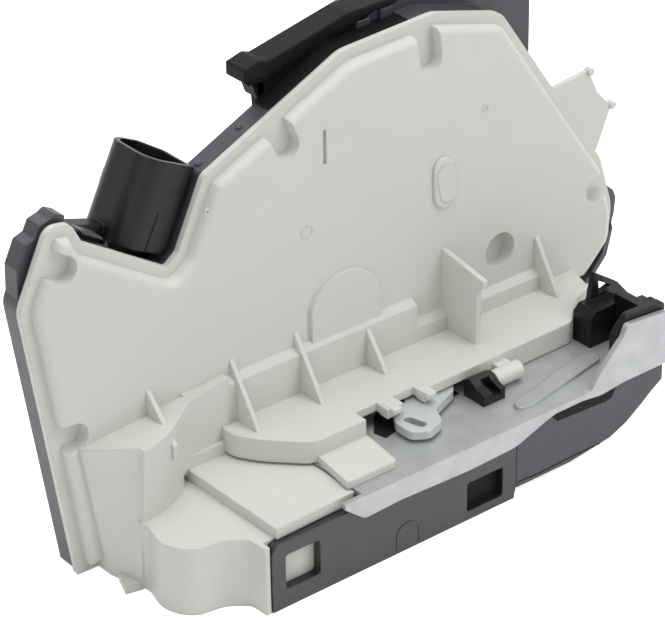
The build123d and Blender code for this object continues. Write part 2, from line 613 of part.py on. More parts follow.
# ---------------------------------------------------------------- pawl, shown lifted
pawl_at = (PAWL_X, PAWL_Y)
PAWL_HUB_R = 6.4
PAWL_ENGAGED = [polar(20.9, -34.5, claw_at), (-2.1, -13.6), (1.3, -19.1), (6.0, -20.2),
                (13.0, -15.0), (20.6, -6.0), (15.0, 3.0), (8.8, -2.4), (7.7, -6.5), (5.8, -10.3),
                (2.6, -13.6)]

with BuildPart() as pawl_core:
    with BuildSketch(Plane.XY.offset(CORE_Z0)):
        Polygon(*turned(PAWL_ENGAGED, PAWL_LIFT, pawl_at), align=None)
        with Locations(pawl_at):
            Circle(PAWL_HUB_R)
            Circle(PAWL_PIN_R + RUN, mode=Mode.SUBTRACT)
    extrude(amount=CORE_Z1 - CORE_Z0)
    with BuildSketch(Plane.XY.offset(CASE_FLOOR + 0.3)):
        with Locations(pawl_at):
            Circle(PAWL_PIN_R + 1.8)
            Circle(PAWL_PIN_R + RUN, mode=Mode.SUBTRACT)
    extrude(amount=CORE_Z1 + 0.6 - CASE_FLOOR - 0.3)
save(pawl_core, "pawl_core")

# ---------------------------------------------------------------- springs
for spring_name, centre, radius, z0, turns in (("claw_spring", claw_at, 6.2, 13.9, 2),
                                               ("pawl_spring", pawl_at, 4.6, 13.6, 2)):
    with BuildPart() as spring:
        with BuildLine():
            coil = Helix(1.25, 1.25 * turns, radius, center=(centre[0], centre[1], z0))
        with BuildSketch(Plane(origin=coil @ 0, z_dir=coil % 0)):
            Rectangle(0.8, 0.8)
        sweep(path=coil, is_frenet=True)
    save(spring, spring_name)

# ---------------------------------------------------------------- outside release lever
EYE = [(-3.2, -14.2), (-3.2, -19.2), (0.4, -21.6), (5.2, -20.0), (7.3, -15.4), (15.0, -12.3),
       (20.5, -6.0), (20.5, 0.0), (15.0, 2.4), (9.5, 0.4), (8.0, -4.0), (3.6, -9.2), (-0.4, -9.8)]
with BuildPart() as outside_release_lever:
    with BuildSketch(Plane.XY.offset(LEVER_Z0)):
        with BuildLine():
            FilletPolyline(*EYE, radius=[2.2, 2.6, 2.6, 2.2, 2.2, 2.5, 2, 2.5, 3, 2, 3, 2, 2],
                           close=True)
        make_face()
        with Locations((0.35, -16.6)):
            SlotCenterToCenter(3.2, 2.2, rotation=-74, mode=Mode.SUBTRACT)
        with Locations(pawl_at):
            Circle(PAWL_PIN_R + RUN, mode=Mode.SUBTRACT)
    extrude(amount=LEVER_T)
save(outside_release_lever, "outside_release_lever")

# ---------------------------------------------------------------- lock drive
lock_at = polar(-(PINION_TEETH + SECTOR_TEETH) * MODULE / 2, LOCK_ANGLE, (WHEEL_X, WHEEL_Z))
wheel_at = (WHEEL_X, WHEEL_Z)
PINION_R, SECTOR_R = PINION_TEETH * MODULE / 2, SECTOR_TEETH * MODULE / 2
WHEEL_R = WHEEL_TEETH * MODULE / 2
WORM_X0, WORM_X1 = 37.0, 51.0
WHEEL_PIN_R, LOCK_PIN_R = 2.0, 2.5


def teeth_sketch(plane, centre, pitch_r, step, angles, half=0.58, slope=0.22):
    """Straight-sided teeth standing on a root circle, one per angle."""
    with BuildSketch(plane) as sketch:
        for angle in angles:
            tooth = [(pitch_r - 1.4, -half - slope), (pitch_r + 0.8, -half + slope),
                     (pitch_r + 0.8, half - slope), (pitch_r - 1.4, half + slope)]
            tooth = [(centre[0] + px, centre[1] + py) for px, py in tooth]
            Polygon(*turned(tooth, angle * step, centre), align=None)
    return sketch.sketch


with BuildPart() as motor_can:
    with BuildSketch(Plane.YZ.offset(MOTOR_X0)):
        with Locations((SHAFT_Y, SHAFT_Z)):
            Circle(MOTOR_R)
            Rectangle(MOTOR_FLAT, 4 * MOTOR_R, mode=Mode.INTERSECT)
    extrude(amount=MOTOR_X1 - MOTOR_X0)
    chamfer(motor_can.faces().sort_by(Axis.X)[0].edges(), 0.8)
    with BuildSketch(Plane.YZ.offset(MOTOR_X1)):
        with Locations((SHAFT_Y, SHAFT_Z)):
            Circle(3.0)
    extrude(amount=1.5)
    with BuildSketch(Plane.YZ.offset(MOTOR_X1 + 1.5)):
        with Locations((SHAFT_Y, SHAFT_Z)):
            Circle(1.0 + RUN)
    extrude(amount=-6.0, mode=Mode.SUBTRACT)
save(motor_can, "motor_can")

with BuildPart() as motor_shaft:
    with BuildSketch(Plane.YZ.offset(MOTOR_X1 - 4)):
        with Locations((SHAFT_Y, SHAFT_Z)):
            Circle(1.0)
    extrude(amount=57 - MOTOR_X1 + 4)
    with BuildSketch(Plane.YZ.offset(WORM_X0)):
        with Locations((SHAFT_Y, SHAFT_Z)):
            Circle(WORM_R - 1.1)
    extrude(amount=WORM_X1 - WORM_X0)
    with BuildLine():
        thread = Helix(math.pi * MODULE, WORM_X1 - WORM_X0 - 2, WORM_R - 1.1,
                       center=(WORM_X0 + 1, SHAFT_Y, SHAFT_Z), direction=(1, 0, 0))
    start = thread @ 0
    out = Vector(0, start.Y - SHAFT_Y, start.Z - SHAFT_Z).normalized()
    thread_plane = Plane(origin=start, x_dir=out, z_dir=thread % 0)
    with BuildSketch(thread_plane):
        Polygon((-0.4, -0.75), (1.8, -0.32), (1.8, 0.32), (-0.4, 0.75), align=None)
    sweep(path=thread, is_frenet=True)
save(motor_shaft, "motor_shaft")

# where the thread's crest stands over the wheel, and the tooth gap that takes it
crest = [thread @ (k / 2000) for k in range(2001)]
crest_x = min((p for p in crest if p.Z < SHAFT_Z - (WORM_R - 1.1) + 0.002),
              key=lambda p: abs(p.X - WHEEL_X)).X
crest_angle = 90 - math.degrees((crest_x - WHEEL_X) / WHEEL_R)
wheel_step = 360 / WHEEL_TEETH

with BuildPart() as worm_wheel:
    WHEEL_Y0, WHEEL_Y1 = 20.0, 24.0
    with BuildSketch(front(WHEEL_Y1)):
        with Locations(wheel_at):
            Circle(WHEEL_R - 1.1)
    extrude(amount=WHEEL_Y1 - WHEEL_Y0)
    angles = [crest_angle / wheel_step + 0.5 + k for k in range(WHEEL_TEETH)]
    extrude(teeth_sketch(front(WHEEL_Y1), wheel_at, WHEEL_R, wheel_step, angles),
            amount=WHEEL_Y1 - WHEEL_Y0)
    # recessed web, hub and pinion
    with BuildSketch(front(WHEEL_Y0)):
        with Locations(wheel_at):
            Circle(WHEEL_R - 3.0)
            Circle(PINION_R - 1.1, mode=Mode.SUBTRACT)
    extrude(amount=-1.2, mode=Mode.SUBTRACT)
    with BuildSketch(front(WHEEL_Y0)):
        with Locations(wheel_at):
            Circle(PINION_R - 1.1)
    extrude(amount=WHEEL_Y0 - 12.6)
    angles = [LOCK_ANGLE / 30 + 0.5 + k for k in range(PINION_TEETH)]
    extrude(teeth_sketch(front(16.6), wheel_at, PINION_R, 30.0, angles, half=0.62), amount=4.0)
    with BuildSketch(front(WHEEL_Y1 + 2)):
        with Locations(wheel_at):
            Circle(WHEEL_PIN_R + 2)
    extrude(amount=2)
    with BuildSketch(front(WHEEL_Y1 + 2)):
        with Locations(wheel_at):
            Circle(WHEEL_PIN_R + RUN)
    extrude(amount=20, mode=Mode.SUBTRACT)
save(worm_wheel, "worm_wheel")

with BuildPart() as lock_lever:
    with BuildSketch(front(16.4)):
        with BuildLine():
            arc = CenterArc(lock_at, SECTOR_R - 1.1, -14, 62)
            Line(arc @ 1, lock_at)
            Line(lock_at, arc @ 0)
        make_face()
        with Locations(lock_at):
            Circle(6.0)
        # tail that reaches the latch levers
        with Locations((lock_at[0] - 0.6, lock_at[1] - 9.0)):
            SlotCenterToCenter(19.0, 6.0, rotation=88)
        # window in the sector
        with BuildLine():
            near = CenterArc(lock_at, 10.5, 0, 34)
            far = CenterArc(lock_at, 18.5, 0, 34)
            Line(near @ 0, far @ 0)
            Line(near @ 1, far @ 1)
        make_face(mode=Mode.SUBTRACT)
    extrude(amount=3.8)
    step = 360 / SECTOR_TEETH
    angles = [LOCK_ANGLE / step + k for k in range(-5, 3)]
    extrude(teeth_sketch(front(16.4), lock_at, SECTOR_R, step, angles), amount=3.8)
    with BuildSketch(front(16.4)):
        with Locations(lock_at):
            Circle(LOCK_PIN_R + RUN)
    extrude(amount=3.8, mode=Mode.SUBTRACT)
save(lock_lever, "lock_lever")

for pin_name, place, radius, y0 in (("wheel_pin", wheel_at, WHEEL_PIN_R, 11.0),
                                    ("lock_lever_pin", lock_at, LOCK_PIN_R, 11.0)):
    with BuildPart() as drive_pin:
        with BuildSketch(front(DEEP_BACK)):
            with Locations(place):
                Circle(radius)
        extrude(amount=DEEP_BACK - y0)
        with BuildSketch(front(DEEP_BACK)):
            with Locations(place):
                Circle(radius + 2.0)
        extrude(amount=DEEP_BACK - 26.3)
    save(drive_pin, pin_name)

with BuildPart() as lead_frame:
    # three contact strips from the socket to the motor
    with BuildSketch(front(15.6)):
        for k in range(3):
            z = 58.0 + 3.2 * k
            Polygon((-44.0 - k, z - 6), (-42.0 - k, z - 7), (-14.0, z + 10), (2.6, z + 10),
                    (2.6, z + 12), (-15.0, z + 12), align=None)
    extrude(amount=0.8)
    with BuildSketch(front(15.6)):
        Polygon((-22.0, 62.0), (-19.0, 62.0), (-19.0, 78.0), (-22.0, 78.0), align=None)
    extrude(amount=1.6)
save(lead_frame, "lead_frame")

# ---------------------------------------------------------------- inside release lever
handle_at = (HANDLE_X, HANDLE_Z)
with BuildPart() as inside_lever_pin:
    with BuildSketch(front(HOUSING_BACK)):
        with Locations(handle_at):
            Circle(2.5)
    extrude(amount=-3.4)
    with BuildSketch(front(HOUSING_BACK + 2.9)):
        with Locations(handle_at):
            Circle(4.2)
    extrude(amount=-1.0)
save(inside_lever_pin, "inside_lever_pin")

with BuildPart() as inside_release_lever:
    with BuildSketch(front(HOUSING_BACK + 2.6)):
        with BuildLine():
            FilletPolyline((-26.5, 50.0), (-27.0, 28.0), (-20.5, 28.0), (-15.5, 45.5), (6.0, 50.0),
                           (12.0, 53.0), (9.0, 60.0), (-14.5, 58.0), (-23.0, 59.0),
                           radius=[5, 3, 3, 5, 3, 3.5, 3.5, 5, 5], close=True)
        make_face()
        with Locations(handle_at):
            Circle(2.5 + RUN, mode=Mode.SUBTRACT)
        with Locations((6.6, 55.2)):
            SlotCenterToCenter(3.0, 3.0, rotation=12, mode=Mode.SUBTRACT)
        with Locations((-23.7, 32.0)):
            Circle(1.6, mode=Mode.SUBTRACT)
    extrude(amount=2.0)
save(inside_release_lever, "inside_release_lever")

# ---------------------------------------------------------------- brackets and clips
with BuildPart() as cable_bracket:
    # long top bar, over the rim's upper left edge
    with BuildSketch(front(23.4)):
        Polygon((-17.5, 96.9), (-17.5, 99.1), (-11.0, 99.8), (10.5, 103.7), (10.5, 101.3),
                (-11.0, 97.4), align=None)
    extrude(amount=6.8)
    # panel below it, seated on the back of the shallow step
    with BuildSketch(front(20.2)):
        Polygon((-14.0, 98.2), (-13.4, 88.2), (3.0, 95.0), (12.3, 98.4), (12.3, 101.6),
                (10.5, 102.4), align=None)
    extrude(amount=2.5)
    add(rear_housing.part, mode=Mode.SUBTRACT)
save(cable_bracket, "cable_bracket")

with BuildPart() as cable_channel:
    # white cable tab beside the cover, with a bead at each corner
    with BuildSketch(front(12.6)):
        with BuildLine():
            Line((63.0, 72.7), (76.0, 73.4))
            ThreePointArc((76.0, 73.4), (78.0, 66.5), (84.6, 61.6))
            Line((84.6, 61.6), (79.6, 51.2))
            Line((79.6, 51.2), (78.0, 50.9))
            Line((78.0, 50.9), (63.0, 72.7))
        make_face()
    extrude(amount=1.4)
    with BuildSketch(front(12.6)):
        with Locations((77.0, 72.6), (84.6, 61.4)):
            Circle(1.1)
    extrude(amount=2.2)
    add(white_cover.part, mode=Mode.SUBTRACT)
save(cable_channel, "cable_channel")

with BuildPart() as side_guard:
    # guard strip beyond the rim's lower right corner
    with BuildSketch(front(19.0)):
        Polygon((82.4, 39.9), (84.8, 39.6), (86.9, 37.7), (87.8, 35.5), (87.4, 31.6),
                (86.0, 26.7), (83.2, 22.9), (79.5, 19.3), (77.1, 17.9), (75.4, 19.4),
                (80.6, 26.0), align=None)
    extrude(amount=6.0)
    add(rear_housing.part, mode=Mode.SUBTRACT)
save(side_guard, "side_guard")

with BuildPart() as end_block:
    # black end piece on the back plate, with a wall behind the tall tab
    with BuildSketch(Plane.XY.offset(BACK_Z1)):
        Polygon((53.7, -15.0), (64.0, -15.0), (64.0, -9.2), (53.7, -9.2), align=None)
    extrude(amount=9.0)
    chamfer(end_block.faces().sort_by(Axis.Z)[-1].edges().sort_by(Axis.X)[0], 1.6)
    with BuildSketch(Plane.XY.offset(BACK_Z1)):
        Polygon((61.8, -27.3), (64.4, -27.3), (64.4, -14.0), (61.8, -14.0), align=None)
    extrude(amount=11.0)
    with BuildSketch(front(-25.4)):
        with BuildLine():
            FilletPolyline((49.4, BACK_Z1), (64.4, BACK_Z1), (64.4, 33.4), (53.0, 33.8),
                           (49.4, 30.0), radius=[0.3, 0.3, 1.2, 2, 2], close=True)
        make_face()
    extrude(amount=1.9)
    # thin three-cornered frame over the block
    with BuildSketch(front(-9.2)):
        Polygon((57.2, 27.0), (58.6, 35.6), (66.0, 30.6), (69.2, 26.8), (68.6, 23.4),
                (63.6, 23.4), (63.6, 27.0), align=None)
        Polygon((59.9, 33.0), (63.8, 30.6), (60.4, 29.6), align=None, mode=Mode.SUBTRACT)
    extrude(amount=1.4)
save(end_block, "end_block")

with BuildPart() as end_bracket:
    # rail beside the end block, with a hook and a knob
    with BuildSketch(front(-9.4)):
        Polygon((64.0, 19.8), (78.4, 19.8), (78.4, 21.4), (76.0, 21.4), (75.4, 23.2),
                (73.2, 23.4), (73.6, 21.2), (64.0, 21.2), align=None)
        with Locations((77.6, 20.6)):
            Circle(1.3)
    extrude(amount=2.0)
save(end_bracket, "end_bracket")

with BuildPart() as front_clip:
    # black clip on the back plate, in front of the ledge
    with BuildSketch(Plane.YZ.offset(18.6)):
        Polygon((-18.4, BACK_Z1), (-11.6, BACK_Z1), (-11.6, 23.6), (-13.6, 24.6), (-15.4, 23.2),
                (-18.4, 22.4), align=None)
    extrude(amount=6.2)
    with BuildSketch(Plane.YZ.offset(21.0)):
        Polygon((-18.6, 21.2), (-14.4, 21.2), (-14.4, 26.0), (-18.6, 26.0), align=None)
    extrude(amount=2.4, mode=Mode.SUBTRACT)
save(front_clip, "front_clip")

with BuildPart() as claw_switch:
    # sensing switch at the right end of the case
    with BuildSketch(Plane.XY.offset(RIGHT_FLOOR)):
        Polygon((40.5, -22.0), (47.0, -22.0), (47.0, -4.0), (40.5, -4.0), align=None)
    extrude(amount=6.4)
    fillet(claw_switch.edges().filter_by(Axis.Z), 0.5)
save(claw_switch, "claw_switch")
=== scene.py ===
import logging
import math
from dataclasses import dataclass, field
from enum import Enum
from typing import Iterable, Sequence

import bmesh
import bpy
from mathutils import Matrix, Vector


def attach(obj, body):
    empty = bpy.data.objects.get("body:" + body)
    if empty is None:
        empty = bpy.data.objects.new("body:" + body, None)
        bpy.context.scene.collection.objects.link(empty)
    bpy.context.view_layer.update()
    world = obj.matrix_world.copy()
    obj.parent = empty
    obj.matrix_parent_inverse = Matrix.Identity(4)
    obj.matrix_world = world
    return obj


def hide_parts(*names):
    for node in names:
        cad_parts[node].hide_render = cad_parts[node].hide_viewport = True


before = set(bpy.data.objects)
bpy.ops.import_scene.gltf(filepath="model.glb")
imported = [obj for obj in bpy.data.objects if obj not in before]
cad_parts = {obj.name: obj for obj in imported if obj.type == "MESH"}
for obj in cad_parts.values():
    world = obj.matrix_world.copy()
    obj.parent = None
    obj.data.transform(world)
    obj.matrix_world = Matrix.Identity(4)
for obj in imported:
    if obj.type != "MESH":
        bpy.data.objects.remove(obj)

# Outlines and places below are in millimetres in the part's own frame; mm() turns them to metres.
# -Y is the white cover's side, +Z points into the door and +X runs along the latch.
log = logging.getLogger("latch")
Sheet = bmesh.types.BMesh
MM = 0.001
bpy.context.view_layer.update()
SHARP_EDGE = 25.0       # degrees; a sharper edge is rounded
LOOKS_UP = 0.99         # a face whose normal rises more than this looks up
MERGE_MESH = 0.00001    # metres; doubles in a copied node
MERGE_TURNED = 1e-7     # metres; doubles on a turned piece's axis
FRONTWARD = (0, -1, 0)


class Side(Enum):
    """Where a studio lamp stands, in metres."""

    KEY = (0.55, -0.85, 1.00)
    FILL = (-0.95, -0.55, 0.55)
    BACK = (0.35, 0.95, 0.85)
    TOP = (0.0, 0.05, 1.3)


class Across(Enum):
    """The axis that a flat outline is pushed along."""

    X = 0
    Y = 1
    Z = 2


# ---------------------------------------------------------------- small helpers
def mm(*values: float) -> Vector:
    """A point in metres from millimetres."""
    return Vector(values) * MM


def linked(thing: bpy.types.Object) -> bpy.types.Object:
    """Put an object in the scene's collection and hand it back."""
    bpy.context.scene.collection.objects.link(thing)
    return thing


def node_tree(material: bpy.types.Material) -> tuple:
    """Clear a material and give it a fresh shader.

    Args:
        material: The material to fill.

    Returns:
        The tree's nodes, its links and the Principled shader.
    """
    material.use_nodes = True
    nodes, links = material.node_tree.nodes, material.node_tree.links
    nodes.clear()
    output = nodes.new("ShaderNodeOutputMaterial")
    shader = nodes.new("ShaderNodeBsdfPrincipled")
    links.new(shader.outputs["BSDF"], output.inputs["Surface"])
    return nodes, links, shader


# ---------------------------------------------------------------- finishes
@dataclass(frozen=True)
class Finish:
    """A surface finish: colour, gloss, mottling, grain and softened edges.

    Scales are features per metre, depths and edges are in metres.
    """

    name: str
    colour: tuple
    roughness: float = 0.5
    metallic: float = 0.0
    specular: float = 0.5
    coat: float = 0.0
    coat_roughness: float = 0.2
    subsurface: float = 0.0
    scatter: tuple = (0.002, 0.002, 0.0018)
    shade: float = 0.03
    shade_scale: float = 60.0
    shade_detail: float = 5.0
    shade_span: tuple = (0.3, 0.7)
    gloss_spread: float = 0.06
    gloss_scale: float = 180.0
    gloss_detail: float = 4.0
    least_roughness: float = 0.03
    grain_scale: float = 2500.0
    grain_detail: float = 3.0
    grain_depth: float = 0.00001
    edge: float = 0.00035
    edge_samples: int = 6

    def build(self) -> bpy.types.Material:
        """Make the material.

        Returns:
            A material whose nodes read object coordinates only.
        """
        material = bpy.data.materials.new(self.name)
        nodes, links, shader = node_tree(material)
        shader.inputs["Metallic"].default_value = self.metallic
        shader.inputs["Specular IOR Level"].default_value = self.specular
        shader.inputs["Coat Weight"].default_value = self.coat
        shader.inputs["Coat Roughness"].default_value = self.coat_roughness
        if self.subsurface:
            shader.inputs["Subsurface Weight"].default_value = self.subsurface
            shader.inputs["Subsurface Radius"].default_value = self.scatter
            shader.inputs["Subsurface Scale"].default_value = 1.0
        place = nodes.new("ShaderNodeTexCoord").outputs["Object"]
        self._colour(nodes, links, place, shader)
        self._gloss(nodes, links, place, shader)
        self._relief(nodes, links, place, shader)
        return material

    @staticmethod
    def _noise(nodes: bpy.types.Nodes, links: bpy.types.NodeLinks, place: bpy.types.NodeSocket,
               scale: float, detail: float) -> bpy.types.NodeSocket:
        """A cloudy pattern.

        Args:
            nodes: The material's nodes.
            links: The material's links.
            place: The coordinates that the pattern follows.
            scale: Features per metre.
            detail: How many finer layers it has.

        Returns:
            The pattern's value.
        """
        noise = nodes.new("ShaderNodeTexNoise")
        noise.inputs["Scale"].default_value = scale
        noise.inputs["Detail"].default_value = detail
        links.new(place, noise.inputs["Vector"])
        return noise.outputs["Fac"]

    def _colour(self, nodes: bpy.types.Nodes, links: bpy.types.NodeLinks,
                place: bpy.types.NodeSocket, shader: bpy.types.Node) -> None:
        """Give the base colour a faint cloudy shading.

        Args:
            nodes: The material's nodes.
            links: The material's links.
            place: The coordinates that the clouds follow.
            shader: The shader that takes the colour.
        """
        ramp = nodes.new("ShaderNodeValToRGB")
        shades = (1 - self.shade, 1 + self.shade)
        for stop, where, share in zip(ramp.color_ramp.elements, self.shade_span, shades):
            stop.position = where
            stop.color = (*(min(1.0, part * share) for part in self.colour), 1)
        cloud = self._noise(nodes, links, place, self.shade_scale, self.shade_detail)
        links.new(cloud, ramp.inputs["Fac"])
        links.new(ramp.outputs["Color"], shader.inputs["Base Color"])

    def _gloss(self, nodes: bpy.types.Nodes, links: bpy.types.NodeLinks,
               place: bpy.types.NodeSocket, shader: bpy.types.Node) -> None:
        """Make the roughness uneven.

        Args:
            nodes: The material's nodes.
            links: The material's links.
            place: The coordinates that the spots follow.
            shader: The shader that takes the roughness.
        """
        span = nodes.new("ShaderNodeMapRange")
        least = max(self.least_roughness, self.roughness - self.gloss_spread)
        span.inputs["To Min"].default_value = least
        span.inputs["To Max"].default_value = min(1.0, self.roughness + self.gloss_spread)
        spots = self._noise(nodes, links, place, self.gloss_scale, self.gloss_detail)
        links.new(spots, span.inputs["Value"])
        links.new(span.outputs["Result"], shader.inputs["Roughness"])

    def _relief(self, nodes: bpy.types.Nodes, links: bpy.types.NodeLinks,
                place: bpy.types.NodeSocket, shader: bpy.types.Node) -> None:
        """Lay fine grain over softened edges.

        Args:
            nodes: The material's nodes.
            links: The material's links.
            place: The coordinates that the grain follows.
            shader: The shader that takes the surface's direction.
        """
        bump = nodes.new("ShaderNodeBump")
        bump.inputs["Strength"].default_value = 1.0
        bump.inputs["Distance"].default_value = self.grain_depth
        grain = self._noise(nodes, links, place, self.grain_scale, self.grain_detail)
        links.new(grain, bump.inputs["Height"])
        soft = nodes.new("ShaderNodeBevel")
        soft.samples = self.edge_samples
        soft.inputs["Radius"].default_value = self.edge
        links.new(soft.outputs["Normal"], bump.inputs["Normal"])
        links.new(bump.outputs["Normal"], shader.inputs["Normal"])


COVER_WHITE = Finish("cover_white_nylon", (0.645, 0.650, 0.605), roughness=0.42, shade=0.012,
                     gloss_spread=0.05, grain_depth=0.000004, edge=0.0005, subsurface=0.15,
                     specular=0.35)
HOUSING_GREY = Finish("housing_grey_nylon", (0.050, 0.054, 0.062), roughness=0.42, shade=0.12,
                      grain_depth=0.000012, edge=0.0005, specular=0.4)
SOCKET_BLACK = Finish("socket_black", (0.006, 0.007, 0.008), roughness=0.36, shade=0.15,
                      grain_depth=0.000004, edge=0.0004, specular=0.27)
BRACKET_BLACK = Finish("bracket_black", (0.006, 0.007, 0.008), roughness=0.5, shade=0.15,
                       grain_depth=0.000004, edge=0.0003, specular=0.10)
PLATE_BLACK = Finish("plate_black_steel", (0.018, 0.018, 0.019), roughness=0.36, shade=0.25,
                     shade_scale=140.0, grain_scale=1400.0, grain_depth=0.00002, edge=0.0005,
                     coat=0.1)
GALVANISED = Finish("galvanised_steel", (0.43, 0.44, 0.45), roughness=0.42, metallic=0.45,
                    shade=0.08, shade_scale=220.0, gloss_spread=0.10, grain_scale=700.0,
                    grain_depth=0.00001, edge=0.0004)
ZINC = Finish("zinc_plated_steel", (0.60, 0.63, 0.63), roughness=0.30, metallic=0.3, shade=0.05,
              grain_scale=900.0, grain_depth=0.000008, edge=0.0003)
STEEL = Finish("turned_steel", (0.50, 0.50, 0.52), roughness=0.3, metallic=1.0, shade=0.06,
               edge=0.0002)
SPRING_STEEL = Finish("spring_steel", (0.35, 0.34, 0.33), roughness=0.32, metallic=1.0, edge=0.0)
# Black rubber for the gasket and the claw bumper; the same black also paints shade in the
# socket's slit, under the ledge, on the latch case and behind a flange window.
RUBBER_AND_PAINTED_SHADE = Finish("black_rubber_and_painted_shade", (0.010, 0.010, 0.010), roughness=0.75, shade=0.2,
                grain_depth=0.00003, specular=0.2)
CONTACT = Finish("contact_brass", (0.72, 0.55, 0.30), roughness=0.28, metallic=1.0, edge=0.0001)
GEAR_CREAM = Finish("gear_cream_acetal", (0.66, 0.63, 0.54), roughness=0.38, shade=0.03)

NODE_FINISH = {
    COVER_WHITE: ("white_cover", "cable_channel"),
    HOUSING_GREY: ("rear_housing", "latch_case", "side_guard"),
    SOCKET_BLACK: ("connector_shell", "cable_bracket", "end_block", "end_bracket",
                   "front_clip", "claw_jacket_lower", "claw_jacket_upper", "claw_switch"),
    PLATE_BLACK: ("face_plate",),
    GALVANISED: ("back_plate", "motor_can"),
    ZINC: ("outside_release_lever", "inside_release_lever"),
    STEEL: ("claw_pin", "pawl_pin", "case_rivet", "claw_core", "pawl_core", "motor_shaft",
            "inside_lever_pin", "wheel_pin", "lock_lever_pin"),
    SPRING_STEEL: ("claw_spring", "pawl_spring"),
    RUBBER_AND_PAINTED_SHADE: ("gasket", "claw_bumper"),
    CONTACT: ("connector_pins", "lead_frame"),
    GEAR_CREAM: ("worm_wheel", "lock_lever"),
}


@dataclass
class Dresser:
    """Gives every CAD node its finish and hands materials to new pieces."""

    made: dict = field(default_factory=dict)

    def material(self, finish: Finish) -> bpy.types.Material:
        """The material of a finish, made once.

        Args:
            finish: The finish.

        Returns:
            Its material.
        """
        if finish.name not in self.made:
            self.made[finish.name] = finish.build()
        return self.made[finish.name]

    def dress_nodes(self) -> int:
        """Put the finishes on the CAD nodes.

        Returns:
            How many nodes were dressed.
        """
        count = 0
        for finish, names in NODE_FINISH.items():
            for name in names:
                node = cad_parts[name]
                node.data.materials.clear()
                node.data.materials.append(self.material(finish))
                count += 1
        return count


# ---------------------------------------------------------------- mesh helpers
def prism(outline: Sequence, across: Across, start: float, depth: float) -> Sheet:
    """A closed prism.

    Args:
        outline: Corners in millimetres, in the two axes other than the one pushed along.
        across: The axis that the outline is pushed along.
        start: Where the outline lies on that axis, in millimetres.
        depth: How far it is pushed, in millimetres.

    Returns:
        The prism's mesh, with its normals outward.
    """
    sheet = bmesh.new()
    corners = []
    for first, second in outline:
        place = [first, second]
        place.insert(across.value, start)
        corners.append(sheet.verts.new(mm(*place)))
    face = sheet.faces.new(corners)
    grown = bmesh.ops.extrude_face_region(sheet, geom=[face])
    moved = [item for item in grown["geom"] if isinstance(item, bmesh.types.BMVert)]
    shift = [0.0, 0.0, 0.0]
    shift[across.value] = depth
    bmesh.ops.translate(sheet, verts=moved, vec=mm(*shift))
    bmesh.ops.recalc_face_normals(sheet, faces=sheet.faces)
    return sheet


def bevelled(sheet: Sheet, edges: list, width: float, segments: int) -> None:
    """Round some edges of a mesh.

    Args:
        sheet: The mesh to change.
        edges: The edges to round.
        width: The rounding in millimetres.
        segments: How many faces each rounding has.
    """
    bmesh.ops.bevel(sheet, geom=edges, offset=width * MM, offset_type="OFFSET",
                    segments=segments, profile=0.5, affect="EDGES", clamp_overlap=True,
                    material=-1)


@dataclass(frozen=True)
class Form:
    """A flat outline pushed along one axis, with every sharp edge rounded.

    All sizes are in millimetres. A rounding of nought leaves the edges sharp.
    """

    outline: tuple
    start: float
    depth: float
    rounding: float = 0.0
    segments: int = 2
    across: Across = Across.Y

    def build(self) -> Sheet:
        """Make the form.

        Returns:
            Its closed mesh.
        """
        sheet = prism(self.outline, self.across, self.start, self.depth)
        if self.rounding:
            limit = math.radians(SHARP_EDGE)
            sharp = [edge for edge in sheet.edges
                     if len(edge.link_faces) == 2 and edge.calc_face_angle(0.0) > limit]
            bevelled(sheet, sharp, self.rounding, self.segments)
        return sheet


def turned_ring(profile: Sequence, centre: Vector, axis: Vector, steps: int) -> Sheet:
    """A ring or button turned from its half section.

    Args:
        profile: (radius, height) corners in millimetres. It starts and ends on the axis, or
            ends where it starts.
        centre: The middle of the foot, in metres.
        axis: The way the height runs.
        steps: How many faces go round.

    Returns:
        The closed turned mesh.
    """
    sheet = bmesh.new()
    turn = axis.normalized().to_track_quat("Z", "Y").to_matrix().to_4x4()
    place = Matrix.Translation(centre) @ turn
    points = [sheet.verts.new(place @ mm(radius, 0.0, height)) for radius, height in profile]
    edges = [sheet.edges.new(pair) for pair in zip(points, points[1:])]
    bmesh.ops.spin(sheet, geom=points + edges, cent=centre, axis=axis, angle=math.tau,
                   steps=steps, use_merge=True, use_duplicate=False)
    bmesh.ops.remove_doubles(sheet, verts=sheet.verts, dist=MERGE_TURNED)
    bmesh.ops.recalc_face_normals(sheet, faces=sheet.faces)
    return sheet


def coil(radius: float, wire: float, centre: Vector, rise: float, turns: float,
         corners: int = 10, steps: int = 28) -> Sheet:
    """A round wire wound along +Z.

    Args:
        radius: The winding's radius in millimetres.
        wire: The wire's radius in millimetres.
        centre: The foot of the winding's axis, in metres.
        rise: The climb per turn in millimetres.
        turns: The number of turns.
        corners: How many faces go round the wire.
        steps: How many faces go round one turn.

    Returns:
        The wire's mesh with both ends closed.
    """
    sheet = bmesh.new()
    place = (Matrix.Translation(centre + mm(radius, 0, wire))
             @ Matrix.Rotation(math.pi / 2, 4, "X"))
    made = bmesh.ops.create_circle(sheet, cap_ends=True, segments=corners, radius=wire * MM,
                                   matrix=place)
    start = list({edge for vert in made["verts"] for edge in vert.link_edges})
    far = bmesh.ops.spin(sheet, geom=made["verts"] + start, cent=centre, axis=(0, 0, 1),
                         dvec=mm(0, 0, rise / steps), angle=math.tau * turns,
                         steps=int(turns * steps), use_merge=False, use_duplicate=False)
    rim = [item for item in far["geom_last"] if isinstance(item, bmesh.types.BMEdge)]
    bmesh.ops.edgeloop_fill(sheet, edges=rim)
    bmesh.ops.recalc_face_normals(sheet, faces=sheet.faces)
    return sheet


def joined(sheets: Iterable) -> Sheet:
    """Put several meshes in one, and free them.

    Args:
        sheets: The meshes.

    Returns:
        The one mesh.
    """
    whole = bmesh.new()
    carrier = bpy.data.meshes.new("carrier")
    for sheet in sheets:
        sheet.to_mesh(carrier)
        sheet.free()
        whole.from_mesh(carrier)
    bpy.data.meshes.remove(carrier)
    return whole


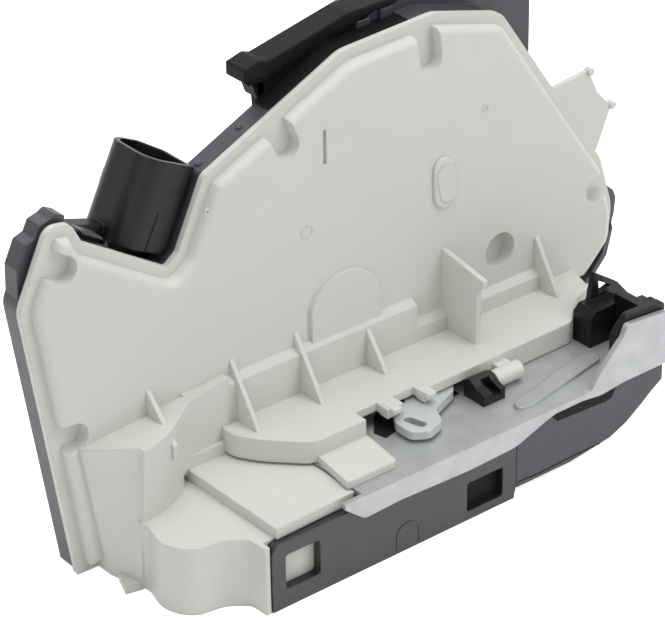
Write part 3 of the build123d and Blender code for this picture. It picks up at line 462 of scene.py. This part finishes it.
def joined_forms(*forms: Form) -> Sheet:
    """Build several forms as one mesh."""
    return joined(form.build() for form in forms)


@dataclass
class Bench:
    """Turns finished meshes into dressed pieces that ride on a body."""

    dresser: Dresser
    count: int = 0

    def piece(self, name: str, sheet: Sheet, finish: Finish,
              body: str = "latch", instead: Sequence = ()) -> bpy.types.Object:
        """Make one piece.

        Args:
            name: The piece's name.
            sheet: Its mesh, which is freed.
            finish: Its finish.
            body: The body that it rides on.
            instead: The CAD nodes that it stands for.

        Returns:
            The new object.
        """
        mesh = bpy.data.meshes.new(name)
        sheet.to_mesh(mesh)
        sheet.free()
        mesh.materials.append(self.dresser.material(finish))
        thing = linked(bpy.data.objects.new(name, mesh))
        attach(thing, body)
        if instead:
            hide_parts(*instead)
        self.count += 1
        log.info("%s: %d faces on %s", name, len(mesh.polygons), body)
        return thing


# ---------------------------------------------------------------- sub-assemblies
@dataclass
class Socket:
    """The loom socket: shell, slit drawn as a strip of painted shade, keys, catch, neck and the
    pieces beside its foot.

    The slit, the keys and the catch are drawn about the socket's own foot, and stand with it.
    """

    origin: tuple = (-48.0, 21.2, 69.0)
    lean: float = 26.5
    half_width: float = 6.5
    half_depth: float = 7.8
    height: float = 19.4
    floor: float = 5.0
    corner_cut: tuple = (4.0, 5.0)
    left_flat: float = 1.3
    left_segments: int = 10
    right_rounding: float = 0.6
    right_segments: int = 3
    rim_bevel: float = 0.25
    rim_rise: float = 0.15
    rim_width: float = 1.0
    neck: Form = Form(((-53.6, 71.9), (-42.2, 66.3), (-38.0, 53.0), (-50.0, 50.0)),
                      17.75, 8.2, 0.5)
    foot_block: Form = Form(((-62.6, 77.6), (-55.6, 75.4), (-51.6, 74.0), (-52.0, 68.5),
                             (-63.4, 75.5)), 19.6, 4.4, 0.4)
    foot_bar: Form = Form(((-62.6, 79.0), (-57.4, 75.7), (-56.9, 74.6), (-62.2, 77.9)),
                          13.6, 4.4, 0.25)
    # The slit is a thin black strip on the shell's front: painted shade for its dark opening.
    slit: Form = Form(((0.55, 0.2), (1.0, 0.2), (1.0, 8.2), (0.7, 8.8), (0.55, 8.2)), -7.85, 0.5)
    keys: tuple = (
        Form(((-2.6, 6.0), (-1.7, 6.0), (-1.7, 18.4), (-2.6, 18.4)), -6.5, 0.9, 0.15),
        Form(((0.4, 6.0), (1.3, 6.0), (1.3, 18.4), (0.4, 18.4)), -6.5, 0.9, 0.15),
        Form(((-0.9, 6.0), (1.1, 6.0), (1.1, 17.6), (-0.9, 17.6)), 6.5, -1.1, 0.2))
    catch: Form = Form(((-3.1, 9.0), (2.1, 9.0), (2.1, 12.6), (-3.1, 12.6)), 7.7, 1.1, 0.35)

    def _standing(self, sheet: Sheet) -> Sheet:
        """Stand a mesh made about the socket's own foot where the socket is.

        Args:
            sheet: The mesh to move.

        Returns:
            The same mesh.
        """
        turn = Matrix.Rotation(math.radians(self.lean), 4, "Y")
        bmesh.ops.transform(sheet, matrix=Matrix.Translation(mm(*self.origin)) @ turn,
                            verts=sheet.verts)
        return sheet

    def _shell(self) -> Sheet:
        """The hollow shell: round on its left, with one corner cut at the back.

        Returns:
            Its closed mesh about its own foot.
        """
        width, depth = self.half_width, self.half_depth
        cut_x, cut_y = self.corner_cut
        shell = prism([(-width, -depth), (width, -depth), (width, depth - cut_y),
                       (width - cut_x, depth), (-width, depth)], Across.Z, 0.0, self.height)
        upright = [edge for edge in shell.edges
                   if abs(edge.verts[0].co.z - edge.verts[1].co.z) > MM]
        left = [edge for edge in upright if edge.verts[0].co.x < 0]
        right = [edge for edge in upright if edge.verts[0].co.x > 0]
        bevelled(shell, left, width - self.left_flat, self.left_segments)
        bevelled(shell, right, self.right_rounding, self.right_segments)
        top = [face for face in shell.faces if face.normal.z > LOOKS_UP]
        bmesh.ops.inset_region(shell, faces=top, thickness=self.rim_bevel * MM, depth=0.0)
        bmesh.ops.translate(shell, verts=list({vert for face in top for vert in face.verts}),
                            vec=mm(0, 0, self.rim_rise))
        bmesh.ops.inset_region(shell, faces=top, thickness=self.rim_width * MM, depth=0.0)
        grown = bmesh.ops.extrude_face_region(shell, geom=top)
        bmesh.ops.delete(shell, geom=top, context="FACES")
        sunk = [item for item in grown["geom"] if isinstance(item, bmesh.types.BMVert)]
        bmesh.ops.translate(shell, verts=sunk,
                            vec=mm(0, 0, self.floor - self.height - self.rim_rise))
        bmesh.ops.recalc_face_normals(shell, faces=shell.faces)
        return shell

    def build(self, bench: Bench) -> None:
        """Make the shell, which stands for the plain one, and what is in and on it.

        Args:
            bench: Where the pieces are made.
        """
        shell = joined([self._standing(self._shell()), self.neck.build(),
                        self.foot_block.build()])
        bench.piece("socket_shell", shell, SOCKET_BLACK,
                    instead=("connector_shell",))
        # The slit's black strip is painted shade.
        bench.piece("socket_slit_shade", self._standing(self.slit.build()), RUBBER_AND_PAINTED_SHADE)
        bench.piece("socket_keys", self._standing(joined_forms(*self.keys)), SOCKET_BLACK)
        bench.piece("socket_catch", self._standing(self.catch.build()), SOCKET_BLACK)
        bench.piece("socket_foot_bar", self.foot_bar.build(), HOUSING_GREY)


@dataclass
class TopBar:
    """Stepped bar over the rim's upper left edge, with its lip, panel, web and skirt."""

    bar: Form = Form(((-17.6, 96.4), (-17.6, 99.5), (-13.4, 100.6), (-11.4, 99.9),
                      (10.2, 104.4), (24.0, 104.45), (24.0, 103.0), (16.8, 102.6),
                      (-12.0, 96.4)), 16.6, 6.8, 0.35)
    lip: Form = Form(((-16.9, 96.6), (-12.0, 96.6), (15.6, 102.6), (15.6, 101.6),
                      (-12.0, 95.4), (-16.6, 95.5)), 17.0, 1.2, 0.2)
    panel: Form = Form(((-14.0, 97.2), (-13.4, 88.2), (3.0, 95.0), (23.4, 98.4),
                        (23.4, 103.4), (12.0, 102.2)), 17.75, 2.5, 0.25)
    web: Form = Form(((-15.4, 96.6), (-13.6, 91.6), (-11.6, 90.0), (-11.8, 97.2)),
                     17.75, 4.6, 0.25)
    skirt: Form = Form(((-14.6, 90.4), (-14.6, 91.35), (3.2, 99.5), (23.6, 100.5),
                        (23.6, 99.6), (3.6, 98.6)), 13.0, 4.8, 0.15)

    def build(self, bench: Bench) -> None:
        """Make the bar, which stands for the plain one."""
        whole = joined_forms(self.bar, self.lip, self.panel, self.web, self.skirt)
        bench.piece("top_bar", whole, BRACKET_BLACK, instead=("cable_bracket",))


@dataclass
class CableTab:
    """Thin white tab beside the cover, with a bead at each free corner."""

    tab: Form = Form(((64.2, 71.3), (75.9, 72.7), (77.0, 71.0), (79.3, 66.2), (83.2, 61.9),
                      (83.6, 61.0), (79.4, 51.3), (78.0, 50.9)), 12.6, -1.3, 0.25)
    bead: tuple = ((0.0, 0.0), (0.75, 0.0), (0.95, 0.2), (0.95, 1.7), (0.75, 1.9), (0.0, 1.9))
    bead_feet: tuple = ((76.6, 12.6, 72.2), (83.9, 12.6, 61.5))
    bead_steps: int = 20

    def build(self, bench: Bench) -> None:
        """Make the tab, which stands for the plain one.

        Args:
            bench: Where the piece is made.
        """
        beads = [turned_ring(self.bead, mm(*foot), Vector(FRONTWARD), self.bead_steps)
                 for foot in self.bead_feet]
        bench.piece("cable_tab", joined([self.tab.build()] + beads), COVER_WHITE,
                    instead=("cable_channel",))


@dataclass
class FlangeDetail:
    """The D embossed on the face plate's front flange."""

    mark: Form = Form(((-14.2, 0.9), (-14.2, 4.8), (-13.4, 6.1), (-12.1, 6.9), (-10.9, 7.1),
                       (-9.7, 6.8), (-8.5, 6.0), (-7.8, 4.8), (-7.6, 0.9), (-7.9, 0.9),
                       (-8.1, 4.7), (-8.75, 5.8), (-9.8, 6.5), (-10.9, 6.8), (-12.0, 6.6),
                       (-13.2, 5.85), (-13.9, 4.7), (-13.9, 0.9)), -27.2, -0.42)

    def build(self, bench: Bench) -> None:
        """Make the embossed mark."""
        bench.piece("flange_mark", self.mark.build(), PLATE_BLACK)


@dataclass
class ThreadPair:
    """M8 thread turns inside the two drawn collars."""

    feet: tuple = ((-38.0, 17.5, 0.4), (31.0, 14.0, 0.4))
    radius: float = 3.38
    ridge: float = 0.3
    pitch: float = 1.25
    length: float = 5.4
    corners: int = 6
    steps: int = 32

    def build(self, bench: Bench) -> None:
        """Make one helical ridge per collar.

        Args:
            bench: Where the piece is made.
        """
        ridges = [coil(self.radius, self.ridge, mm(*foot), self.pitch, self.length / self.pitch,
                       self.corners, self.steps) for foot in self.feet]
        bench.piece("screw_threads", joined(ridges), PLATE_BLACK)


@dataclass
class Springs:
    """Round-wire return springs of the claw and the pawl."""

    claw_foot: tuple = (-18.0, 0.0, 13.6)
    pawl_foot: tuple = (15.0, -3.0, 13.3)
    claw_radius: float = 6.2
    pawl_radius: float = 4.6
    wire: float = 0.42
    rise: float = 1.15
    turns: float = 2.6

    def build(self, bench: Bench) -> None:
        """Make both coils, each in its plain coil's place.

        Args:
            bench: Where the pieces are made.
        """
        claw = coil(self.claw_radius, self.wire, mm(*self.claw_foot), self.rise, self.turns)
        bench.piece("claw_coil", claw, SPRING_STEEL, instead=("claw_spring",))
        pawl = coil(self.pawl_radius, self.wire, mm(*self.pawl_foot), self.rise, self.turns)
        bench.piece("pawl_coil", pawl, SPRING_STEEL, instead=("pawl_spring",))


@dataclass
class CoverDetail:
    """Small moulded features of the white cover: bean boss, ejector rings and ledge hooks.

    A lobe of the boss is its middle's x and z, its half width and its reach. A ring is its
    middle's x and z and its radius, and its section is given from that radius outward.
    """

    face: float = 7.5
    upper_lobe: tuple = (28.7, 65.0, 2.7, 2.9)
    lower_lobe: tuple = (29.6, 58.9, -3.5, -3.7)
    lobe_step: int = 15
    boss_foot: float = 7.7
    boss_depth: float = -1.1
    boss_rounding: float = 0.5
    boss_segments: int = 3
    rings: tuple = ((-9.3, 62.6, 1.6), (41.2, 75.7, 0.9), (-35.3, 76.3, 0.7))
    ring_section: tuple = ((-0.35, -0.3), (-0.35, 0.1), (-0.15, 0.18), (0.05, 0.1),
                           (0.05, -0.3), (-0.35, -0.3))
    ring_steps: int = 40
    hooks: tuple = (
        Form(((-3.6, -9.6), (-0.4, -9.6), (-0.8, -13.8), (-3.2, -13.8)), 24.0, 1.4, 0.3,
             across=Across.Z),
        Form(((6.2, -9.6), (9.4, -9.6), (9.0, -13.8), (6.6, -13.8)), 24.0, 1.4, 0.3,
             across=Across.Z))

    def _ring(self, x: float, z: float, radius: float) -> Sheet:
        """A faint raised ring left by an ejector pin.

        Args:
            x: Where its middle is along the latch.
            z: How deep in the door its middle is.
            radius: Its radius.

        Returns:
            Its closed mesh.
        """
        section = [(radius + out, height) for out, height in self.ring_section]
        return turned_ring(section, mm(x, self.face, z), Vector(FRONTWARD), self.ring_steps)

    def _boss(self) -> Form:
        """The bean-shaped boss, one half round lobe above the other.

        Returns:
            Its form.
        """
        half = [math.radians(angle) for angle in range(0, 181, self.lobe_step)]
        outline = tuple((x + width * math.cos(angle), z + reach * math.sin(angle))
                        for x, z, width, reach in (self.upper_lobe, self.lower_lobe)
                        for angle in half)
        return Form(outline, self.boss_foot, self.boss_depth, self.boss_rounding,
                    self.boss_segments)

    def build(self, bench: Bench) -> None:
        """Make the boss, the rings and the hooks.

        Args:
            bench: Where the pieces are made.
        """
        bench.piece("bean_boss", self._boss().build(), COVER_WHITE)
        rings = joined(self._ring(*ring) for ring in self.rings)
        bench.piece("ejector_rings", rings, COVER_WHITE)
        bench.piece("ledge_hooks", joined_forms(*self.hooks), COVER_WHITE)


@dataclass
class HousingDetail:
    """Bumps on the rear housing's upper left edge and ribs on its hidden back."""

    bump: tuple = ((0.0, -0.5), (1.0, -0.5), (0.8, 0.4), (0.0, 0.5))
    bump_feet: tuple = ((-31.4, 15.4, 83.05), (-20.6, 15.4, 88.0))
    bump_way: tuple = (-0.42, 0, 0.91)
    bump_steps: int = 20
    rib_places: tuple = (12.0, 24.0, 36.0, 48.0)
    rib_width: float = 1.4
    rib_low: float = 62.0
    rib_high: float = 92.0
    rib_foot: float = 34.3
    rib_depth: float = 0.9
    rib_rounding: float = 0.3

    def _rib(self, x: float) -> Form:
        """A stiffening rib.

        Args:
            x: Where its left side is along the latch.

        Returns:
            Its form.
        """
        far, low, high = x + self.rib_width, self.rib_low, self.rib_high
        return Form(((x, low), (far, low), (far, high), (x, high)), self.rib_foot,
                    self.rib_depth, self.rib_rounding)

    def build(self, bench: Bench) -> None:
        """Make the bumps and the ribs.

        Args:
            bench: Where the pieces are made.
        """
        bumps = [turned_ring(self.bump, mm(*foot), Vector(self.bump_way), self.bump_steps)
                 for foot in self.bump_feet]
        bench.piece("housing_bumps", joined(bumps), HOUSING_GREY)
        ribs = joined_forms(*(self._rib(x) for x in self.rib_places))
        bench.piece("back_ribs", ribs, HOUSING_GREY)


@dataclass
class HousingEdge:
    """Outer steps of the grey housing, its side guard's foot and painted shade behind a flange
    window.
    """

    corner: Form = Form(((-79.0, 68.6), (-78.7, 75.7), (-76.3, 80.6), (-73.9, 81.4),
                         (-72.7, 83.8), (-70.3, 84.4), (-68.7, 85.2), (-66.4, 84.0),
                         (-67.0, 82.2), (-72.0, 82.8), (-78.8, 68.2)), 13.0, 4.6, 0.35)
    guard: Form = Form(((83.0, 36.4), (84.6, 36.0), (87.4, 27.4), (85.6, 20.6), (80.6, 15.4),
                        (77.6, 13.8), (77.0, 15.0), (79.8, 16.8), (83.8, 21.4),
                        (85.4, 27.2)), 13.0, 2.6, 0.3)
    # Black plate behind the flange's second window: painted shade for the dark depth seen through
    # it.
    shade_in_window: Form = Form(((5.4, 1.8), (16.6, 1.8), (16.6, 10.0), (5.4, 10.0)), -25.35, 0.4, 0.1)

    def build(self, bench: Bench) -> None:
        """Make the stepped corner, the guard's foot and the window's plate of painted shade.

        Args:
            bench: Where the pieces are made.
        """
        bench.piece("housing_corner", self.corner.build(), HOUSING_GREY)
        bench.piece("guard_foot", self.guard.build(), HOUSING_GREY)
        # The window's black plate is painted shade.
        bench.piece("window_painted_shade", self.shade_in_window.build(), RUBBER_AND_PAINTED_SHADE)


@dataclass
class HousingTub:
    """The deep grey tub with its upper back edge chamfered behind the top bar.

    The chamfer is the plane through on_edge that holds the directions along and down.
    """

    on_edge: tuple = (-2.6, 34.5, 93.2)
    along: tuple = (23.7, 0.0, 5.1)
    down: tuple = (-8.4, -11.1, 6.5)
    wall: float = 1.2

    @staticmethod
    def _open_loops(sheet: Sheet) -> list:
        """The open edge loops of a mesh.

        Args:
            sheet: The mesh to search.

        Returns:
            A list of edges for each loop, longest loop first.
        """
        left = {edge for edge in sheet.edges if edge.is_boundary}
        loops = []
        while left:
            loop, queue = [], [left.pop()]
            while queue:
                edge = queue.pop()
                loop.append(edge)
                for other in (near for vert in edge.verts for near in vert.link_edges):
                    if other in left:
                        left.discard(other)
                        queue.append(other)
            loops.append(loop)
        return sorted(loops, key=lambda loop: -sum(edge.calc_length() for edge in loop))

    def build(self, bench: Bench) -> None:
        """Trim a merged copy of the tub, and close its skin and then its inner wall.

        Args:
            bench: Where the piece is made.
        """
        sheet = bmesh.new()
        sheet.from_mesh(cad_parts["rear_housing"].data)
        bmesh.ops.remove_doubles(sheet, verts=sheet.verts, dist=MERGE_MESH)
        outward = Vector(self.along).cross(Vector(self.down)).normalized()
        if outward.y < 0:
            outward.negate()
        bmesh.ops.bisect_plane(sheet, geom=sheet.verts[:] + sheet.edges[:] + sheet.faces[:],
                               plane_co=mm(*self.on_edge), plane_no=outward, clear_outer=True)
        skin, *inner = self._open_loops(sheet)
        bmesh.ops.contextual_create(sheet, geom=skin)
        for loop in inner:
            bmesh.ops.translate(sheet, verts=list({vert for edge in loop for vert in edge.verts}),
                                vec=outward * -self.wall * MM)
            bmesh.ops.contextual_create(sheet, geom=loop)
        bmesh.ops.recalc_face_normals(sheet, faces=sheet.faces)
        bench.piece("housing_tub", sheet, HOUSING_GREY,
                    instead=("rear_housing",))


@dataclass
class LatchGaps:
    """Painted shade under the cover's ledge and on the latch case, the case's seam, and two
    blocks.
    """

    # Thin black plates under the cover's ledge: painted shade where the ledge hides the back
    # plate.
    ledge_shades: tuple = (
        Form(((-2.1, -5.6), (-6.6, -11.0), (-5.9, -14.2), (-1.0, -13.1), (3.3, -5.9),
              (2.8, -3.2)), 19.5, 0.28, 0.1, across=Across.Z),
        Form(((10.3, -10.4), (13.7, -11.0), (18.2, -10.6), (18.2, -7.2), (12.4, -7.5)),
             19.5, 0.28, 0.1, across=Across.Z))
    seam: Form = Form(((21.2, 3.6), (27.5, 3.3), (38.1, 3.6), (45.8, 3.5), (45.8, 3.2),
                       (38.1, 3.3), (27.5, 3.0), (21.2, 3.3)), -26.9, -0.34)
    # A black patch on the case face: painted shade where a dark opening shows.
    case_shade_patch: Form = Form(((30.7, 16.4), (37.6, 17.0), (50.4, 17.0), (49.0, 14.1), (42.9, 14.1),
                       (32.6, 14.6)), -26.9, -0.36)
    blocks: tuple = (
        Form(((12.7, 101.7), (16.6, 101.5), (17.1, 96.9), (12.9, 97.1)), 16.9, 1.3, 0.35),
        Form(((19.4, 102.6), (22.8, 102.6), (22.8, 98.2), (19.4, 98.4)), 16.9, 1.3, 0.35))

    def build(self, bench: Bench) -> None:
        """Make the painted shade under the ledge and on the case, the seam, and the blocks in
        front of the bar's panel.

        Args:
            bench: Where the pieces are made.
        """
        # The ledge plates and the case patch are painted shade; the seam is a dark joint.
        bench.piece("ledge_painted_shade", joined_forms(*self.ledge_shades), RUBBER_AND_PAINTED_SHADE)
        bench.piece("case_seam_and_painted_shade", joined_forms(self.seam, self.case_shade_patch), RUBBER_AND_PAINTED_SHADE)
        bench.piece("bar_blocks", joined_forms(*self.blocks), HOUSING_GREY)


# ---------------------------------------------------------------- studio
@dataclass(frozen=True)
class Lamp:
    """A soft square lamp that looks at the object: side in metres, power in watts."""

    name: str
    side: Side
    size: float
    power: float

    def build(self, target: Vector) -> None:
        """Hang the lamp.

        Args:
            target: The point that it looks at, in metres.
        """
        data = bpy.data.lights.new(self.name, "AREA")
        data.shape = "SQUARE"
        data.size = self.size
        data.energy = self.power
        place = Vector(self.side.value)
        turn = (target - place).to_track_quat("-Z", "Y").to_matrix().to_4x4()
        linked(bpy.data.objects.new(self.name, data)).matrix_world = (
            Matrix.Translation(place) @ turn)


@dataclass
class Studio:
    """Floor, world, lamps and camera."""

    eye: tuple = (-356.23, -435.35, 365.28)
    right: tuple = (0.775990, -0.630563, -0.015145)
    up: tuple = (0.323644, 0.377448, 0.867633)
    back: tuple = (-0.541381, -0.678176, 0.496974)
    focal_px: float = 3000.0
    width_px: float = 665.0
    sensor: float = 36.0
    clip: tuple = (0.01, 20.0)
    ambient: float = 0.33
    floor_size: float = 3.0
    floor_shade: float = 0.92
    floor_roughness: float = 0.9
    floor_glow: float = 0.75
    lamp_target: tuple = (0, 0, 40)
    lamps: tuple = (Lamp("key_lamp", Side.KEY, 0.9, 7.0), Lamp("fill_lamp", Side.FILL, 0.9, 1.8),
                    Lamp("top_lamp", Side.TOP, 0.8, 8.2), Lamp("back_lamp", Side.BACK, 0.8, 2.5))

    def build(self) -> None:
        """Make the whole stage."""
        self._camera()
        self._world()
        self._floor()
        for lamp in self.lamps:
            lamp.build(mm(*self.lamp_target))

    def _camera(self) -> None:
        """Set the camera at its measured place and turn."""
        data = bpy.data.cameras.new("camera")
        data.sensor_fit = "HORIZONTAL"
        data.sensor_width = self.sensor
        data.lens = self.sensor * self.focal_px / self.width_px
        data.clip_start, data.clip_end = self.clip
        camera = linked(bpy.data.objects.new("camera", data))
        turn = Matrix((self.right, self.up, self.back)).transposed().to_4x4()
        camera.matrix_world = Matrix.Translation(mm(*self.eye)) @ turn
        bpy.context.scene.camera = camera

    @staticmethod
    def _seen(nodes: bpy.types.Nodes, links: bpy.types.NodeLinks) -> bpy.types.NodeSocket:
        """Tell whether the camera, a reflection or a view through something meets the surface.

        Args:
            nodes: The tree's nodes.
            links: The tree's links.

        Returns:
            A value of 1 where one of them does, and 0 elsewhere.
        """
        path = nodes.new("ShaderNodeLightPath")
        total = path.outputs["Is Camera Ray"]
        for kind in ("Is Glossy Ray", "Is Transmission Ray"):
            larger = nodes.new("ShaderNodeMath")
            larger.operation = "MAXIMUM"
            links.new(total, larger.inputs[0])
            links.new(path.outputs[kind], larger.inputs[1])
            total = larger.outputs[0]
        return total

    def _world(self) -> None:
        """Hang an even sky, plain white where the camera or a mirror-like surface sees it."""
        world = bpy.data.worlds.new("studio_sky")
        bpy.context.scene.world = world
        world.use_nodes = True
        nodes, links = world.node_tree.nodes, world.node_tree.links
        nodes.clear()
        output = nodes.new("ShaderNodeOutputWorld")
        mix = nodes.new("ShaderNodeMixShader")
        links.new(self._seen(nodes, links), mix.inputs["Fac"])
        for socket, strength in ((1, self.ambient), (2, 1.0)):
            sky = nodes.new("ShaderNodeBackground")
            sky.inputs["Color"].default_value = (1, 1, 1, 1)
            sky.inputs["Strength"].default_value = strength
            links.new(sky.outputs[0], mix.inputs[socket])
        links.new(mix.outputs[0], output.inputs["Surface"])

    def _floor(self) -> None:
        """Lay a large pale floor that keeps the object's shadow."""
        sheet = bmesh.new()
        bmesh.ops.create_grid(sheet, x_segments=1, y_segments=1, size=self.floor_size)
        mesh = bpy.data.meshes.new("floor")
        sheet.to_mesh(mesh)
        sheet.free()
        material = bpy.data.materials.new("floor_white")
        nodes, links, shader = node_tree(material)
        shader.inputs["Base Color"].default_value = (*[self.floor_shade] * 3, 1)
        shader.inputs["Roughness"].default_value = self.floor_roughness
        shader.inputs["Specular IOR Level"].default_value = 0.0
        glow = nodes.new("ShaderNodeEmission")
        seen = nodes.new("ShaderNodeMath")
        seen.operation = "MULTIPLY"
        seen.inputs[1].default_value = self.floor_glow
        links.new(self._seen(nodes, links), seen.inputs[0])
        links.new(seen.outputs[0], glow.inputs["Strength"])
        both = nodes.new("ShaderNodeAddShader")
        links.new(shader.outputs[0], both.inputs[0])
        links.new(glow.outputs[0], both.inputs[1])
        links.new(both.outputs[0], nodes["Material Output"].inputs["Surface"])
        mesh.materials.append(material)
        floor = linked(bpy.data.objects.new("floor", mesh))


def main() -> None:
    """Build the studio and every sub-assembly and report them."""
    bpy.context.scene.view_settings.view_transform = "Standard"
    Studio().build()
    dresser = Dresser()
    log.info("dressed %d nodes", dresser.dress_nodes())
    bench = Bench(dresser)
    for assembly in (Socket(), TopBar(), CableTab(), FlangeDetail(), ThreadPair(), Springs(),
                     CoverDetail(), HousingDetail(), HousingEdge(), HousingTub(), LatchGaps()):
        assembly.build(bench)
    log.info("made %d pieces", bench.count)


if __name__ == "__main__":
    logging.basicConfig(level=logging.INFO, format="%(name)s: %(message)s")
    main()
